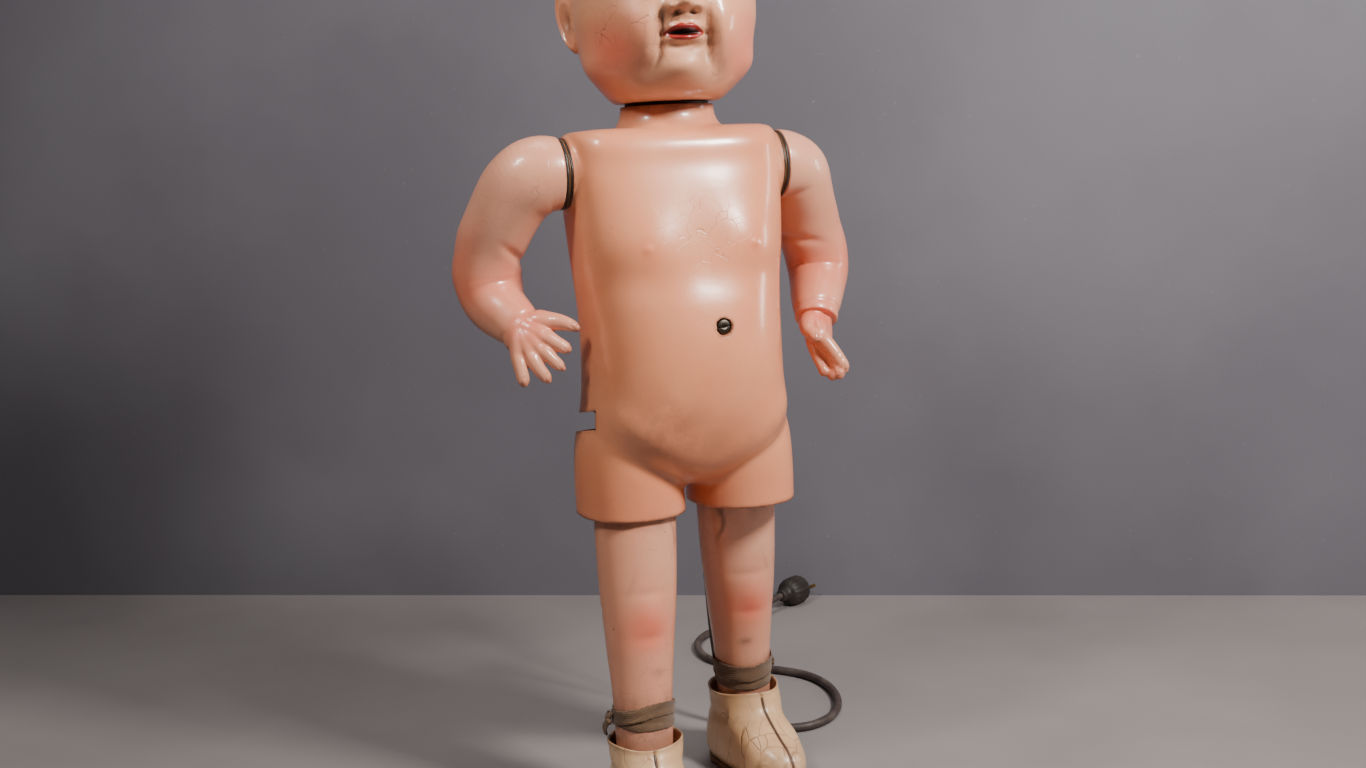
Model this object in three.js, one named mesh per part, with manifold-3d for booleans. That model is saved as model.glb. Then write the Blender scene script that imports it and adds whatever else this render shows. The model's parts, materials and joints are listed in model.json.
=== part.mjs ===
// A mechanical walking doll: a hollow composition torso with a clockwork-style electric drive inside.
// A motor turns a worm, a worm wheel and two opposed cranks. Slotted hip levers swing the legs,
// forked levers on the shoulder shafts swing the arms, and a fork on the neck spindle turns the head.
// Millimetres. +Z is up, the doll faces -Y, its right hand is at -X. The origin is on the floor under the hips.
import * as THREE from "three";
import { mergeVertices } from "three/addons/utils/BufferGeometryUtils.js";
import Module from "manifold-3d";

const wasm = await Module();
wasm.setup();

// The hips' height above the floor, and how far the other levels lie from it or from each other
const hipHeight = 360;
const hemDrop = 97;
const crotchDrop = 76;
const crankRise = 75;
const navelDrop = 11;
const shoulderRise = 118;
const chestDrop = 66;
const shoulderTopRise = 34;
const neckRise = 19;
const headHeight = 200;
const hemHeight = hipHeight - hemDrop;
const crotchHeight = hipHeight - crotchDrop;
const crankHeight = hipHeight + crankRise;
const navelHeight = crankHeight - navelDrop;
const shoulderHeight = crankHeight + shoulderRise;
const chestHeight = shoulderHeight - chestDrop;
const shoulderTopHeight = shoulderHeight + shoulderTopRise;
const neckTopHeight = shoulderTopHeight + neckRise;

// Drive sizes
const strideAngle = THREE.MathUtils.degToRad(8);
const armPinRise = 33;
const headPinReach = 28;
const headForkReach = 47;
const headRestTurn = THREE.MathUtils.degToRad(-8);
const shaftRadius = 4;
const seatGap = 0.3;
const linkageGap = 0.5;
const forkGap = 0.8;
const pinRadius = 2.5;
const wheelTeeth = 30;
const toothModule = 1.6;
const toothReach = 1;
const toothRoot = 1.6;
const wormRadius = 6.5;

// Body sizes
const hipSpread = 51;
const legSplay = THREE.MathUtils.degToRad(3.2);
const shellWall = 4.5;
const thighWall = 3.5;
const sideFlat = 93.5;
const discRadius = 29.5;
const discThickness = 2.4;
const neckRadius = 40;
const neckWasherThickness = 2.4;

// Shoes and straps
const soleThickness = 6;
const shoeHeight = 75;
const shoeLeather = 2.5;
const toeOut = THREE.MathUtils.degToRad(6);
const strapHeight = 26;
const strapLift = 3;
const strapThickness = 2.6;
const strapLooseness = 0.6;

// Frame and lever planes, measured out from the middle
const plateX = 34;
const hipShaftReach = 79;
const plateThickness = 2.5;
const crankX = 37;
const crankThickness = 4;
const hipLeverX = 50;
const hipLeverThickness = 3.5;
const armLeverX = 56.5;
const armLeverThickness = 3;
const plateFront = -30;
const plateBack = 34;

// Power cord
const cordRadius = 4.2;
const cordSteps = 56;

// The hips stand this far behind the middle of the whole doll
const frameShift = 22.05;

const sides = { right: -1, left: 1 };
const headBaseHeight = neckTopHeight + neckWasherThickness + 2 * seatGap;
const pitchRadius = (wheelTeeth * toothModule) / 2;
const wormHeight = crankHeight - pitchRadius - wormRadius;
const crankRadius = (crankHeight - hipHeight) * Math.tan(strideAngle);
const armDrop = shoulderHeight - hipHeight;
const armPinReach = crankRise + armPinRise;
const armRestAngle = Math.atan2(
  armPinReach * Math.sin(strideAngle),
  armDrop - armPinReach * Math.cos(strideAngle),
);
const headLeverAngle = Math.atan2(headPinReach * Math.sin(armRestAngle), headForkReach);

const skinPaint = new THREE.MeshStandardMaterial({ color: 0xe2a283, roughness: 0.3 });
const limbPaint = new THREE.MeshStandardMaterial({ color: 0xd9a893, roughness: 0.34 });
const shoeLeatherPaint = new THREE.MeshStandardMaterial({ color: 0xd9b58e, roughness: 0.55 });
const soleLeather = new THREE.MeshStandardMaterial({ color: 0x7a4a26, roughness: 0.7 });
const strapCloth = new THREE.MeshStandardMaterial({ color: 0x75583f, roughness: 0.9 });
const darkLeather = new THREE.MeshStandardMaterial({ color: 0x1c1410, roughness: 0.6 });
const steel = new THREE.MeshStandardMaterial({ color: 0x8a8c8f, roughness: 0.4, metalness: 1 });
const brass = new THREE.MeshStandardMaterial({ color: 0xb08a3e, roughness: 0.35, metalness: 1 });
const motorIron = new THREE.MeshStandardMaterial({ color: 0x24282b, roughness: 0.5, metalness: 0.4 });
const cordRubber = new THREE.MeshStandardMaterial({ color: 0x3a2c2a, roughness: 0.65 });
const plugMoulding = new THREE.MeshStandardMaterial({ color: 0x1d1916, roughness: 0.5 });

// Solid helpers

function solidOf(geometry) {
  const bare = new THREE.BufferGeometry();
  const source = geometry.index ? geometry.toNonIndexed() : geometry;
  bare.setAttribute("position", source.getAttribute("position").clone());
  const merged = mergeVertices(bare, 1e-4);
  return new wasm.Manifold(
    new wasm.Mesh({
      numProp: 3,
      vertProperties: merged.attributes.position.array,
      triVerts: new Uint32Array(merged.index.array),
    }),
  );
}

function geometryOf(solid) {
  const mesh = solid.getMesh();
  const geometry = new THREE.BufferGeometry();
  geometry.setAttribute("position", new THREE.BufferAttribute(new Float32Array(mesh.vertProperties), 3));
  geometry.setIndex(new THREE.BufferAttribute(new Uint32Array(mesh.triVerts), 1));
  geometry.computeVertexNormals();
  return geometry;
}

function join(...solids) {
  return solids.reduce((sum, next) => sum.add(next));
}

// A closed skin through rings of equally many points, with a fan over each end.
function loft(rings) {
  const count = rings[0].length;
  const positions = [];
  rings.flat().forEach((p) => positions.push(p.x, p.y, p.z));
  const ends = [rings[0], rings.at(-1)];
  ends.forEach((ring) => {
    const middle = ring.reduce((sum, p) => sum.add(p), new THREE.Vector3()).divideScalar(count);
    positions.push(middle.x, middle.y, middle.z);
  });
  const firstMiddle = rings.length * count;
  const index = [];
  for (let j = 0; j < count; j++) {
    const k = (j + 1) % count;
    for (let i = 0; i + 1 < rings.length; i++) {
      const low = i * count;
      const high = low + count;
      index.push(low + j, low + k, high + k, low + j, high + k, high + j);
    }
    const top = (rings.length - 1) * count;
    index.push(firstMiddle, k, j, firstMiddle + 1, top + j, top + k);
  }
  const geometry = new THREE.BufferGeometry();
  geometry.setAttribute("position", new THREE.Float32BufferAttribute(positions, 3));
  geometry.setIndex(signedVolume(positions, index) < 0 ? index.reverse() : index);
  return solidOf(geometry);
}

function signedVolume(positions, index) {
  const corner = (n) => new THREE.Vector3().fromArray(positions, 3 * n);
  let sum = 0;
  for (let i = 0; i < index.length; i += 3) {
    sum += corner(index[i]).dot(corner(index[i + 1]).cross(corner(index[i + 2])));
  }
  return sum;
}

// A value from rows of [place, value, value, ...], on smooth curves through the rows.
function between(rows, place) {
  const last = rows.length - 1;
  const clamped = THREE.MathUtils.clamp(place, rows[0][0], rows[last][0]);
  let i = 0;
  while (i < last - 1 && rows[i + 1][0] < clamped) i++;
  const slope = (n, column) => {
    const before = rows[Math.max(n - 1, 0)];
    const after = rows[Math.min(n + 1, last)];
    return (after[column] - before[column]) / (after[0] - before[0]);
  };
  const span = rows[i + 1][0] - rows[i][0];
  const t = (clamped - rows[i][0]) / span;
  return rows[0].slice(1).map((_, n) => {
    const column = n + 1;
    const rise = t * t * (3 - 2 * t);
    const start = t * (1 - t) * (1 - t) * span * slope(i, column);
    const end = t * t * (t - 1) * span * slope(i + 1, column);
    return rows[i][column] * (1 - rise) + rows[i + 1][column] * rise + start + end;
  });
}

// A rounded-square ring in a level plane, with its own reach to the front and to the back.
function bodyRing(height, halfWidth, front, back, squareness, count, middleX = 0, middleY = 0) {
  const ring = [];
  for (let i = 0; i < count; i++) {
    const angle = (2 * Math.PI * i) / count;
    const c = Math.cos(angle);
    const s = Math.sin(angle);
    const depth = s < 0 ? front : back;
    const power = 2 / squareness;
    ring.push(
      new THREE.Vector3(
        middleX + halfWidth * Math.sign(c) * Math.abs(c) ** power,
        middleY + depth * Math.sign(s) * Math.abs(s) ** power,
        height,
      ),
    );
  }
  return ring;
}

// A round bar between two points.
function bar(from, to, radius, sides = 12, endRadius = radius) {
  const along = new THREE.Vector3().subVectors(to, from);
  const geometry = new THREE.CylinderGeometry(endRadius, radius, along.length(), sides);
  const turn = new THREE.Quaternion().setFromUnitVectors(new THREE.Vector3(0, 1, 0), along.clone().normalize());
  geometry.applyQuaternion(turn);
  geometry.translate((from.x + to.x) / 2, (from.y + to.y) / 2, (from.z + to.z) / 2);
  return solidOf(geometry);
}

function barX(x0, x1, y, z, radius, sides) {
  return bar(new THREE.Vector3(x0, y, z), new THREE.Vector3(x1, y, z), radius, sides);
}

function barY(y0, y1, x, z, radius, sides) {
  return bar(new THREE.Vector3(x, y0, z), new THREE.Vector3(x, y1, z), radius, sides);
}

function barZ(z0, z1, x, y, radius, sides) {
  return bar(new THREE.Vector3(x, y, z0), new THREE.Vector3(x, y, z1), radius, sides);
}

function block(x0, x1, y0, y1, z0, z1) {
  const geometry = new THREE.BoxGeometry(Math.abs(x1 - x0), Math.abs(y1 - y0), Math.abs(z1 - z0));
  geometry.translate((x0 + x1) / 2, (y0 + y1) / 2, (z0 + z1) / 2);
  return solidOf(geometry);
}

// A flat plate across X from an outline in Y and Z.
function plateAcrossX(shape, x0, x1, curveSegments = 6) {
  const geometry = new THREE.ExtrudeGeometry(shape, {
    depth: Math.abs(x1 - x0),
    bevelEnabled: false,
    curveSegments,
  });
  geometry.applyMatrix4(new THREE.Matrix4().makeBasis(
    new THREE.Vector3(0, 1, 0),
    new THREE.Vector3(0, 0, 1),
    new THREE.Vector3(1, 0, 0),
  ));
  geometry.translate(Math.min(x0, x1), 0, 0);
  return solidOf(geometry);
}

// A link outline with round ends, hanging from its pivot along -Z.
function linkShape(above, below, halfWidth) {
  const shape = new THREE.Shape();
  shape.absarc(0, above, halfWidth, 0, Math.PI, false);
  shape.absarc(0, -below, halfWidth, Math.PI, 2 * Math.PI, false);
  shape.closePath();
  return shape;
}

// Turns a solid about an X axis through the given height.
function swung(solid, angle, height) {
  return solid
    .translate([0, 0, -height])
    .rotate([THREE.MathUtils.radToDeg(angle), 0, 0])
    .translate([0, 0, height]);
}

const doll = new THREE.Group();

function add(name, solid, material) {
  const mesh = new THREE.Mesh(geometryOf(solid), material);
  mesh.name = name;
  doll.add(mesh);
}

// Torso

const torsoBottom = crotchHeight;
const torsoRows = [
  [torsoBottom, 34, 30, 36, 2],
  [torsoBottom + 8, 62, 48, 54, 2.1],
  [hipHeight - 48, 84, 68, 64, 2.3],
  [hipHeight - 24, 90, 80, 65, 2.4],
  [hipHeight + 8, 86.5, 87, 60, 2.4],
  [navelHeight - 22, 85.5, 88, 54, 2.4],
  [navelHeight + 15, 86.5, 83, 50, 2.4],
  [chestHeight - 22, 88.5, 75, 51, 2.5],
  [chestHeight, 90, 70, 54, 2.7],
  [shoulderHeight - chestDrop * 0.47, 92, 63, 55, 3],
  [shoulderHeight, 92.5, 55, 51, 3.3],
  [shoulderTopHeight - 8, 92, 46, 45, 3.2],
  [shoulderTopHeight - 2, 90, 41, 41, 3],
  [shoulderTopHeight, 86, 37, 37, 2.8],
];

function torsoLoft(levels, inset, count) {
  return loft(
    levels.map((height) => {
      const [halfWidth, front, back, squareness] = between(torsoRows, height);
      return bodyRing(height, halfWidth - inset, front - inset, back - inset, squareness, count);
    }),
  );
}

function levelsFrom(low, high, steps) {
  return Array.from({ length: steps + 1 }, (_, i) => low + ((high - low) * i) / steps);
}

// Each thigh widens from inside the hip down to its hem
const thighRows = [
  [hemHeight, 46, 53],
  [hemHeight + 30, 46, 54],
  [hipHeight - 38, 44, 54],
  [hipHeight - 15, 39, 50],
  [hipHeight + 4, 32, 42],
];

function thigh(x, inset, low, levels, count) {
  const heights = [low, ...levels];
  return loft(
    heights.map((height) => {
      const [halfWidth, halfDepth] = between(thighRows, height);
      return bodyRing(height, halfWidth - inset, halfDepth - inset, halfDepth - inset, 2.15, count, x);
    }),
  );
}

function neckOutside() {
  const rows = [
    [shoulderTopHeight - 6, neckRadius + 17],
    [shoulderTopHeight + 1, neckRadius + 10],
    [shoulderTopHeight + 5, neckRadius + 4],
    [shoulderTopHeight + 10, neckRadius + 0.5],
    [neckTopHeight, neckRadius],
  ];
  return loft(rows.map(([height, radius]) => bodyRing(height, radius, radius * 0.86, radius * 0.86, 2, 20)));
}

const pelvisFloor = 8;
const topWall = 9;
const thighLevels = thighRows.map((row) => row[0]).slice(1);
const cavityTop = shoulderTopHeight - topWall;
const torsoOuterLevels = [
  torsoBottom,
  torsoBottom + 4,
  ...levelsFrom(torsoBottom + 10, shoulderTopHeight - 8, 10),
  shoulderTopHeight - 2,
  shoulderTopHeight,
];
const cavityLevels = levelsFrom(torsoBottom + pelvisFloor, cavityTop, 6);
const bossInner = 70;

const torsoOutside = join(
  torsoLoft(torsoOuterLevels, 0, 28),
  barX(-sideFlat, -bossInner, 0, shoulderHeight, discRadius + 0.5, 28),
  barX(bossInner, sideFlat, 0, shoulderHeight, discRadius + 0.5, 28),
  thigh(-hipSpread, 0, hemHeight, thighLevels, 22),
  thigh(hipSpread, 0, hemHeight, thighLevels, 22),
  neckOutside(),
);
const torsoInside = join(
  torsoLoft(cavityLevels, shellWall, 16),
  thigh(-hipSpread, thighWall, hemHeight - 5, thighLevels, 14),
  thigh(hipSpread, thighWall, hemHeight - 5, thighLevels, 14),
);

// The notch round the doll's right hip, from its side to its back
const notchHigh = hipHeight - 3.5;
const notchLow = notchHigh - 16;
const notchInner = 62;
const notchFront = -27;
const notchRound = 6;
const notchFall = 0.16;
const hipNotch = loft(
  [notchFront, 90].map((y) => {
    const fall = (y - notchFront) * notchFall;
    const outer = -sideFlat - 20;
    return [
      [outer, notchLow],
      [-notchInner, notchLow],
      [-notchInner, notchHigh - notchRound],
      [-notchInner - notchRound * 0.3, notchHigh - notchRound * 0.3],
      [-notchInner - notchRound, notchHigh],
      [outer, notchHigh],
    ].map(([x, z]) => new THREE.Vector3(x, y, z - fall));
  }),
);

// The access panel in the back
const panelHalfWidth = 56;
const panelLow = hipHeight + 24;
const panelHigh = shoulderHeight - 6;
const panelGap = 0.5;

function panelBox(shrink) {
  const reach = panelHalfWidth - shrink;
  return block(-reach, reach, 10, 200, panelLow + shrink, panelHigh - shrink);
}

// How far the torso reaches from the middle at a place: column 1 is the front, 2 the back.
function torsoReach(column, x, height) {
  const row = between(torsoRows, height);
  return row[column] * (1 - (Math.abs(x) / row[0]) ** row[3]) ** (1 / row[3]);
}

// The panel's screws go into wooden corner blocks inside the shell
const screwRadius = 1.8;
const screwHeadRadius = 4;
const screwHeadDepth = 2;
const screwInset = 8;
const cornerReach = 10;
const screwPlaces = [
  [-1, panelLow + screwInset],
  [1, panelLow + screwInset],
  [-1, panelHigh - screwInset],
  [1, panelHigh - screwInset],
].map(([across, z]) => {
  const x = across * (panelHalfWidth - screwInset);
  return { x, z, face: torsoReach(2, x, z) };
});

const behindPanel = torsoLoft(cavityLevels, shellWall + 1, 16);
const cornerBlocks = screwPlaces.map(({ x, z, face }) => {
  const outer = x + Math.sign(x) * (cornerReach + 4);
  const inner = x - Math.sign(x) * 6;
  const piece = block(inner, outer, face - 20, face - 1, z - cornerReach, z + cornerReach);
  return piece.intersect(torsoLoft(cavityLevels, 2, 16)).subtract(panelBox(-0.3).subtract(behindPanel));
});

// Openings for the belly screw, the neck bush, the shoulder bushes and the cord
const bellyScrewX = 10;
const bellyHeadRadius = 6;
const bellyShankRadius = 3;
const bushOuter = 8;
const neckBushOuter = 9;
const spindleRadius = 5;
const cordExitX = 56;
const cordExitDrop = 52;
const cordExitHeight = hipHeight - cordExitDrop;
const grommetRadius = 8;
const bellyFace = -torsoReach(1, bellyScrewX, navelHeight);

const torsoHoles = join(
  barY(bellyFace - 20, bellyFace + 25, bellyScrewX, navelHeight, bellyHeadRadius + 0.8, 20),
  barZ(cavityTop - 20, neckTopHeight + 5, 0, 0, neckBushOuter + seatGap, 20),
  barX(-sideFlat - 20, -bossInner + 5, 0, shoulderHeight, bushOuter + seatGap, 20),
  barX(bossInner - 5, sideFlat + 20, 0, shoulderHeight, bushOuter + seatGap, 20),
  barY(40, 100, cordExitX, cordExitHeight, grommetRadius + seatGap, 18),
  barX(-sideFlat - 1, sideFlat + 1, 0, hipHeight, shaftRadius + seatGap, 12).intersect(
    block(-hipShaftReach - 2, hipShaftReach + 2, -50, 50, 0, shoulderHeight),
  ),
);

const wall = torsoOutside.subtract(torsoInside);
add(
  "torso_shell",
  join(wall.subtract(panelBox(0)).subtract(hipNotch), ...cornerBlocks)
    .subtract(torsoHoles)
    .subtract(join(...screwPlaces.map(({ x, z }) => barY(0, 100, x, z, screwRadius + seatGap, 8)))),
  skinPaint,
);

const screwSeats = screwPlaces.map(({ x, z, face }) =>
  join(
    barY(0, 100, x, z, screwRadius + seatGap, 8),
    barY(face - screwHeadDepth - seatGap, 100, x, z, screwHeadRadius + seatGap, 14),
  ),
);
add("back_panel", wall.intersect(panelBox(panelGap)).subtract(join(...screwSeats)), skinPaint);

screwPlaces.forEach(({ x, z, face }, i) => {
  const seat = face - screwHeadDepth;
  const screw = join(
    barY(seat, face, x, z, screwHeadRadius, 12),
    barY(seat - 14, seat + 1, x, z, screwRadius, 8),
  );
  const slot = block(x - 9, x + 9, face - 0.8, face + 1, z - 0.6, z + 0.6);
  add(`panel_screw_${i + 1}`, screw.subtract(slot), steel);
});

// Head

const headRows = [
  [0, 43, 47, 41, 2.2],
  [3, 47, 56, 46, 2.2],
  [12, 54, 68, 54, 2.2],
  [26, 63, 75, 64, 2.2],
  [42, 70.5, 80, 71, 2.2],
  [56, 75, 83, 77, 2.2],
  [68, 77, 85, 81, 2.2],
  [92, 77, 86, 86, 2.15],
  [headHeight - 80, 75.5, 88, 88, 2.1],
  [headHeight - 52, 69, 82, 84, 2.1],
  [headHeight - 28, 56, 66, 70, 2.05],
  [headHeight - 12, 39, 46, 50, 2],
  [headHeight - 3, 20, 24, 27, 2],
  [headHeight, 6, 8, 9, 2],
];

// Swellings and hollows of the face: across, height over the jaw, half-spreads, depth
const faceRelief = [
  [0, 25, 15, 9, 5],
  [0, 88, 6.5, 12, 9],
  [0, 80, 9.5, 6.5, 12],
  [-9, 79, 5, 4.5, 4],
  [9, 79, 5, 4.5, 4],
  [0, 67, 10, 3.5, 3.5],
  [-6, 66, 6, 2.8, 2.2],
  [6, 66, 6, 2.8, 2.2],
  [0, 57, 11, 3.8, 4],
  [0, 62, 17, 1.6, -2.5],
  [0, 44, 16, 5, -2.5],
  [-36, 68, 15, 16, 5],
  [36, 68, 15, 16, 5],
  [-21, 62, 3.2, 12, -2.2],
  [21, 62, 3.2, 12, -2.2],
  [-27, 103, 14, 8, -4],
  [27, 103, 14, 8, -4],
  [-28, 118, 16, 5, 2.5],
  [28, 118, 16, 5, 2.5],
];

function faceDepth(x, rise) {
  return faceRelief.reduce(
    (sum, [across, height, spreadX, spreadZ, depth]) =>
      sum + depth * Math.exp(-(((x - across) / spreadX) ** 2) - ((rise - height) / spreadZ) ** 2),
    0,
  );
}

// Rings have more points across the face, where the relief is.
function headRing(rise) {
  const [halfWidth, front, back, squareness] = between(headRows, rise);
  const count = 32;
  const ring = [];
  for (let i = 0; i < count; i++) {
    const even = (2 * Math.PI * i) / count;
    const angle = even + 0.55 * Math.cos(even);
    const c = Math.cos(angle);
    const s = Math.sin(angle);
    const power = 2 / squareness;
    const x = halfWidth * Math.sign(c) * Math.abs(c) ** power;
    const depth = s < 0 ? front : back;
    const y = depth * Math.sign(s) * Math.abs(s) ** power;
    ring.push(new THREE.Vector3(x, y < 0 ? y - faceDepth(x, rise) : y, headBaseHeight + rise));
  }
  return ring;
}

const headLevels = [
  0, 4, 14, 26, 38, 47, 53, 57, 62, 67, 73, 79, 87, 98, 110,
  ...[78, 64, 48, 32, 18, 8, 0].map((drop) => headHeight - drop),
];

// An ear: a leaning shell shape with a hollow, let into the side of the head
function ear(across) {
  const rim = [];
  const earLevels = [-1, -0.85, -0.5, 0, 0.5, 0.85, 1];
  earLevels.forEach((t) => {
    const spread = Math.sqrt(Math.max(1 - t * t, 0.02));
    const halfDepth = (9 + 5 * t) * spread + 2;
    const thickness = 4.5 * spread + 2;
    rim.push(bodyRing(31 * t, thickness, halfDepth, halfDepth, 2, 10));
  });
  const hollow = new THREE.SphereGeometry(1, 8, 5);
  hollow.scale(5, 8.5, 18);
  hollow.translate(across * 7, -1, 5);
  return loft(rim)
    .subtract(solidOf(hollow))
    .rotate([-12, 0, across * 24])
    .translate([across * 80, 4, headBaseHeight + 74]);
}

const headWall = 6;
const headFloor = headBaseHeight + headWall;
const headOpening = 16;
const headCavity = loft(
  [headWall, 20, 45, 75, 110, headHeight - 55, headHeight - 30, headHeight - 12].map((rise) => {
    const [halfWidth, front, back, squareness] = between(headRows, rise);
    const inset = headWall + 0.02 * rise;
    return bodyRing(headBaseHeight + rise, halfWidth - inset, front - inset, back - inset, squareness, 14);
  }),
);
const restHead = THREE.MathUtils.radToDeg(headRestTurn);
add(
  "head_shell",
  join(loft(headLevels.map(headRing)), ear(-1), ear(1))
    .subtract(headCavity)
    .subtract(barZ(headBaseHeight - 5, headFloor + 5, 0, 0, headOpening, 20))
    .rotate([0, 0, restHead]),
  skinPaint,
);

const headPlateRadius = 28;
const headPlateThickness = 3;
const headPlateLow = headFloor + seatGap;
const spindleTop = headPlateLow + headPlateThickness + 6;
const spindleBottom = shoulderHeight - headPinReach - 23;
add(
  "head_plate",
  barZ(headPlateLow, headPlateLow + headPlateThickness, 0, 0, headPlateRadius, 20).subtract(
    barZ(headPlateLow - 5, headPlateLow + 20, 0, 0, spindleRadius + seatGap, 12),
  ),
  steel,
);
add("head_spindle", barZ(spindleBottom, spindleTop, 0, 0, spindleRadius, 14), steel);

const washerLow = neckTopHeight + seatGap;
add(
  "neck_washer",
  loft(
    [washerLow, washerLow + neckWasherThickness].map((height) =>
      bodyRing(height, neckRadius - 4, (neckRadius - 4) * 0.86, (neckRadius - 4) * 0.86, 2, 28),
    ),
  ).subtract(barZ(washerLow - 5, washerLow + 10, 0, 0, spindleRadius + 0.5, 14)),
  darkLeather,
);
add(
  "neck_bush",
  barZ(cavityTop, neckTopHeight, 0, 0, neckBushOuter, 20).subtract(
    barZ(cavityTop - 5, neckTopHeight + 5, 0, 0, spindleRadius + 0.5, 14),
  ),
  brass,
);

// Arms, seen as the doll's left one and mirrored for the right

// Rows across an arm: out from the middle, front to back, height over the shoulder, radius, thickness.
// The left forearm hangs straighter than the right one.
const armStations = {
  right: [
    [0, 0, 0, 30, 30],
    [6, 0.3, 0.5, 31, 31.2],
    [13.5, 1.3, 0.2, 32, 32.4],
    [22, 3.8, -2.8, 32.2, 32.8],
    [30, 8.2, -9, 31.6, 32.2],
    [37, 15, -20, 30.8, 31.2],
    [45.5, 27, -39, 30, 30],
    [51.5, 38, -59, 29, 29],
    [54, 45, -79, 29.5, 29.5],
    [52.5, 42, -96, 28, 28],
    [49, 32, -109, 25, 25],
    [42.5, 20, -118, 22, 22],
    [37.5, 10, -125, 18.5, 20],
    [34, 2, -132, 15, 19.5],
  ],
  left: [
    [0, 0, 0, 29.5, 30],
    [7, 0.2, -0.6, 29.3, 29.5],
    [14.5, 1.2, -2.8, 28.4, 28.5],
    [20.5, 3.5, -7, 27.6, 27.8],
    [25, 7, -13.5, 27.3, 27.5],
    [29, 12.5, -23, 27.5, 27.5],
    [36, 23, -39, 27.8, 28.2],
    [44.5, 34, -59, 28.5, 29],
    [54, 41, -79, 28.5, 29],
    [55.5, 40, -97, 27.8, 28],
    [50.5, 31, -111, 25.8, 25.5],
    [43, 19, -122, 23, 23.5],
    [37.5, 9, -131, 20, 21.5],
    [34.5, 3, -139, 18, 19.5],
  ],
};

// A skin along a bent path, with a ring of its own size square to the path at each station.
function bentLoft(stations, count, firstNormal) {
  const at = (i) => new THREE.Vector3(...stations[THREE.MathUtils.clamp(i, 0, stations.length - 1)]);
  let acrossWay = new THREE.Vector3(0, 1, 0);
  return loft(
    stations.map(([, , , radius, thickness], i) => {
      const along = i === 0 ? firstNormal.clone() : at(i + 1).sub(at(i - 1)).normalize();
      acrossWay = acrossWay.clone().addScaledVector(along, -acrossWay.dot(along)).normalize();
      const upWay = new THREE.Vector3().crossVectors(along, acrossWay);
      return Array.from({ length: count }, (_, j) => {
        const angle = (2 * Math.PI * j) / count;
        return at(i)
          .addScaledVector(acrossWay, radius * Math.cos(angle))
          .addScaledVector(upWay, thickness * Math.sin(angle));
      });
    }),
  );
}

// Four fingers and a thumb from inside the wrist over the knuckles to the tips, with radii.
// Their roots merge into the palm.
const fingers = {
  right: [
    [[34, 2, -126, 13], [29, -6, -129, 11], [23.8, -12, -131.5, 7.8], [14.4, -17, -138, 6.1], [7, -20, -142.8, 5.2], [3.2, -21, -145.4, 2]],
    [[35, 2, -128, 13], [32, -7, -135, 11], [27.3, -13, -141.3, 7.4], [20.6, -18, -149, 5.8], [13, -20, -157, 5], [8.8, -20, -160.6, 2]],
    [[36, 2, -129, 13], [36, -6, -138, 11], [35, -12, -146.6, 7.2], [30.8, -16, -156.5, 5.8], [24.5, -18, -166, 5], [21.6, -18, -170.2, 2]],
    [[37.5, 3, -128, 13], [41, -3, -138, 10.5], [44.3, -8, -148.5, 6.8], [44.2, -12, -158.5, 5.4], [43, -14, -168, 4.7], [42.2, -15, -172, 2]],
    [[31, 3, -124, 13], [24, -3, -121, 11], [17.7, -8, -120.5, 8.4], [8, -16, -121.5, 6.2], [0.4, -22, -124.5, 4.8], [-4, -25, -128, 2.2]],
  ],
  left: [
    [[33, 2, -141, 12], [29, -9, -146, 10], [27.5, -19, -152, 7.2], [33, -26, -161, 6], [38.5, -31, -171, 5.6], [42.5, -34, -179.5, 5], [44, -35, -184, 2]],
    [[37, 4, -141, 12], [33, -6, -150, 10], [32, -15, -158, 7.2], [36, -23, -169, 6], [38.5, -30, -180, 5.6], [37, -35, -186, 4.6], [35, -37, -187, 2]],
    [[38, 6, -141, 12], [36, -3, -152, 10], [36, -10, -162, 7], [38, -18, -173, 6], [37, -26, -183, 5.4], [32, -31, -187, 4.6], [30, -33, -187, 2]],
    [[36, 7, -141, 12], [31, 0, -151, 9.5], [26.5, -7, -160, 6.8], [26.5, -14, -170, 5.6], [28, -21, -179.5, 5], [27, -26, -184, 4.2], [26, -28, -184.5, 2]],
    [[31, 1, -139, 12], [24, -5, -143, 10], [20, -12, -147, 7.4], [19.5, -20, -150, 5.8], [19.5, -26, -152.5, 4.6], [19.5, -29, -153.5, 2]],
  ],
};

const armStart = sideFlat + 2 * discThickness + 3 * seatGap;
const armShaftInner = 55;
const armShaftOuter = armStart + 22;

function armSolid(word) {
  const place = ([u, y, z, radius, thickness = radius]) => [
    armStart + u,
    y,
    shoulderHeight + z,
    radius,
    thickness,
  ];
  const outward = new THREE.Vector3(1, 0, 0);
  const upper = bentLoft(armStations[word].map(place), 16, outward);
  const firstWay = (rows) => new THREE.Vector3(...rows[1]).sub(new THREE.Vector3(...rows[0])).normalize();
  const hand = fingers[word].map((rows) => bentLoft(rows.map(place), 6, firstWay(rows.map(place))));
  const shaftHole = barX(armStart - 5, armShaftOuter + 1, 0, shoulderHeight, shaftRadius + seatGap, 12);
  return join(upper, ...hand).subtract(shaftHole);
}

function mirrored(solid, across) {
  return across < 0 ? solid.mirror([1, 0, 0]) : solid;
}

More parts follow.
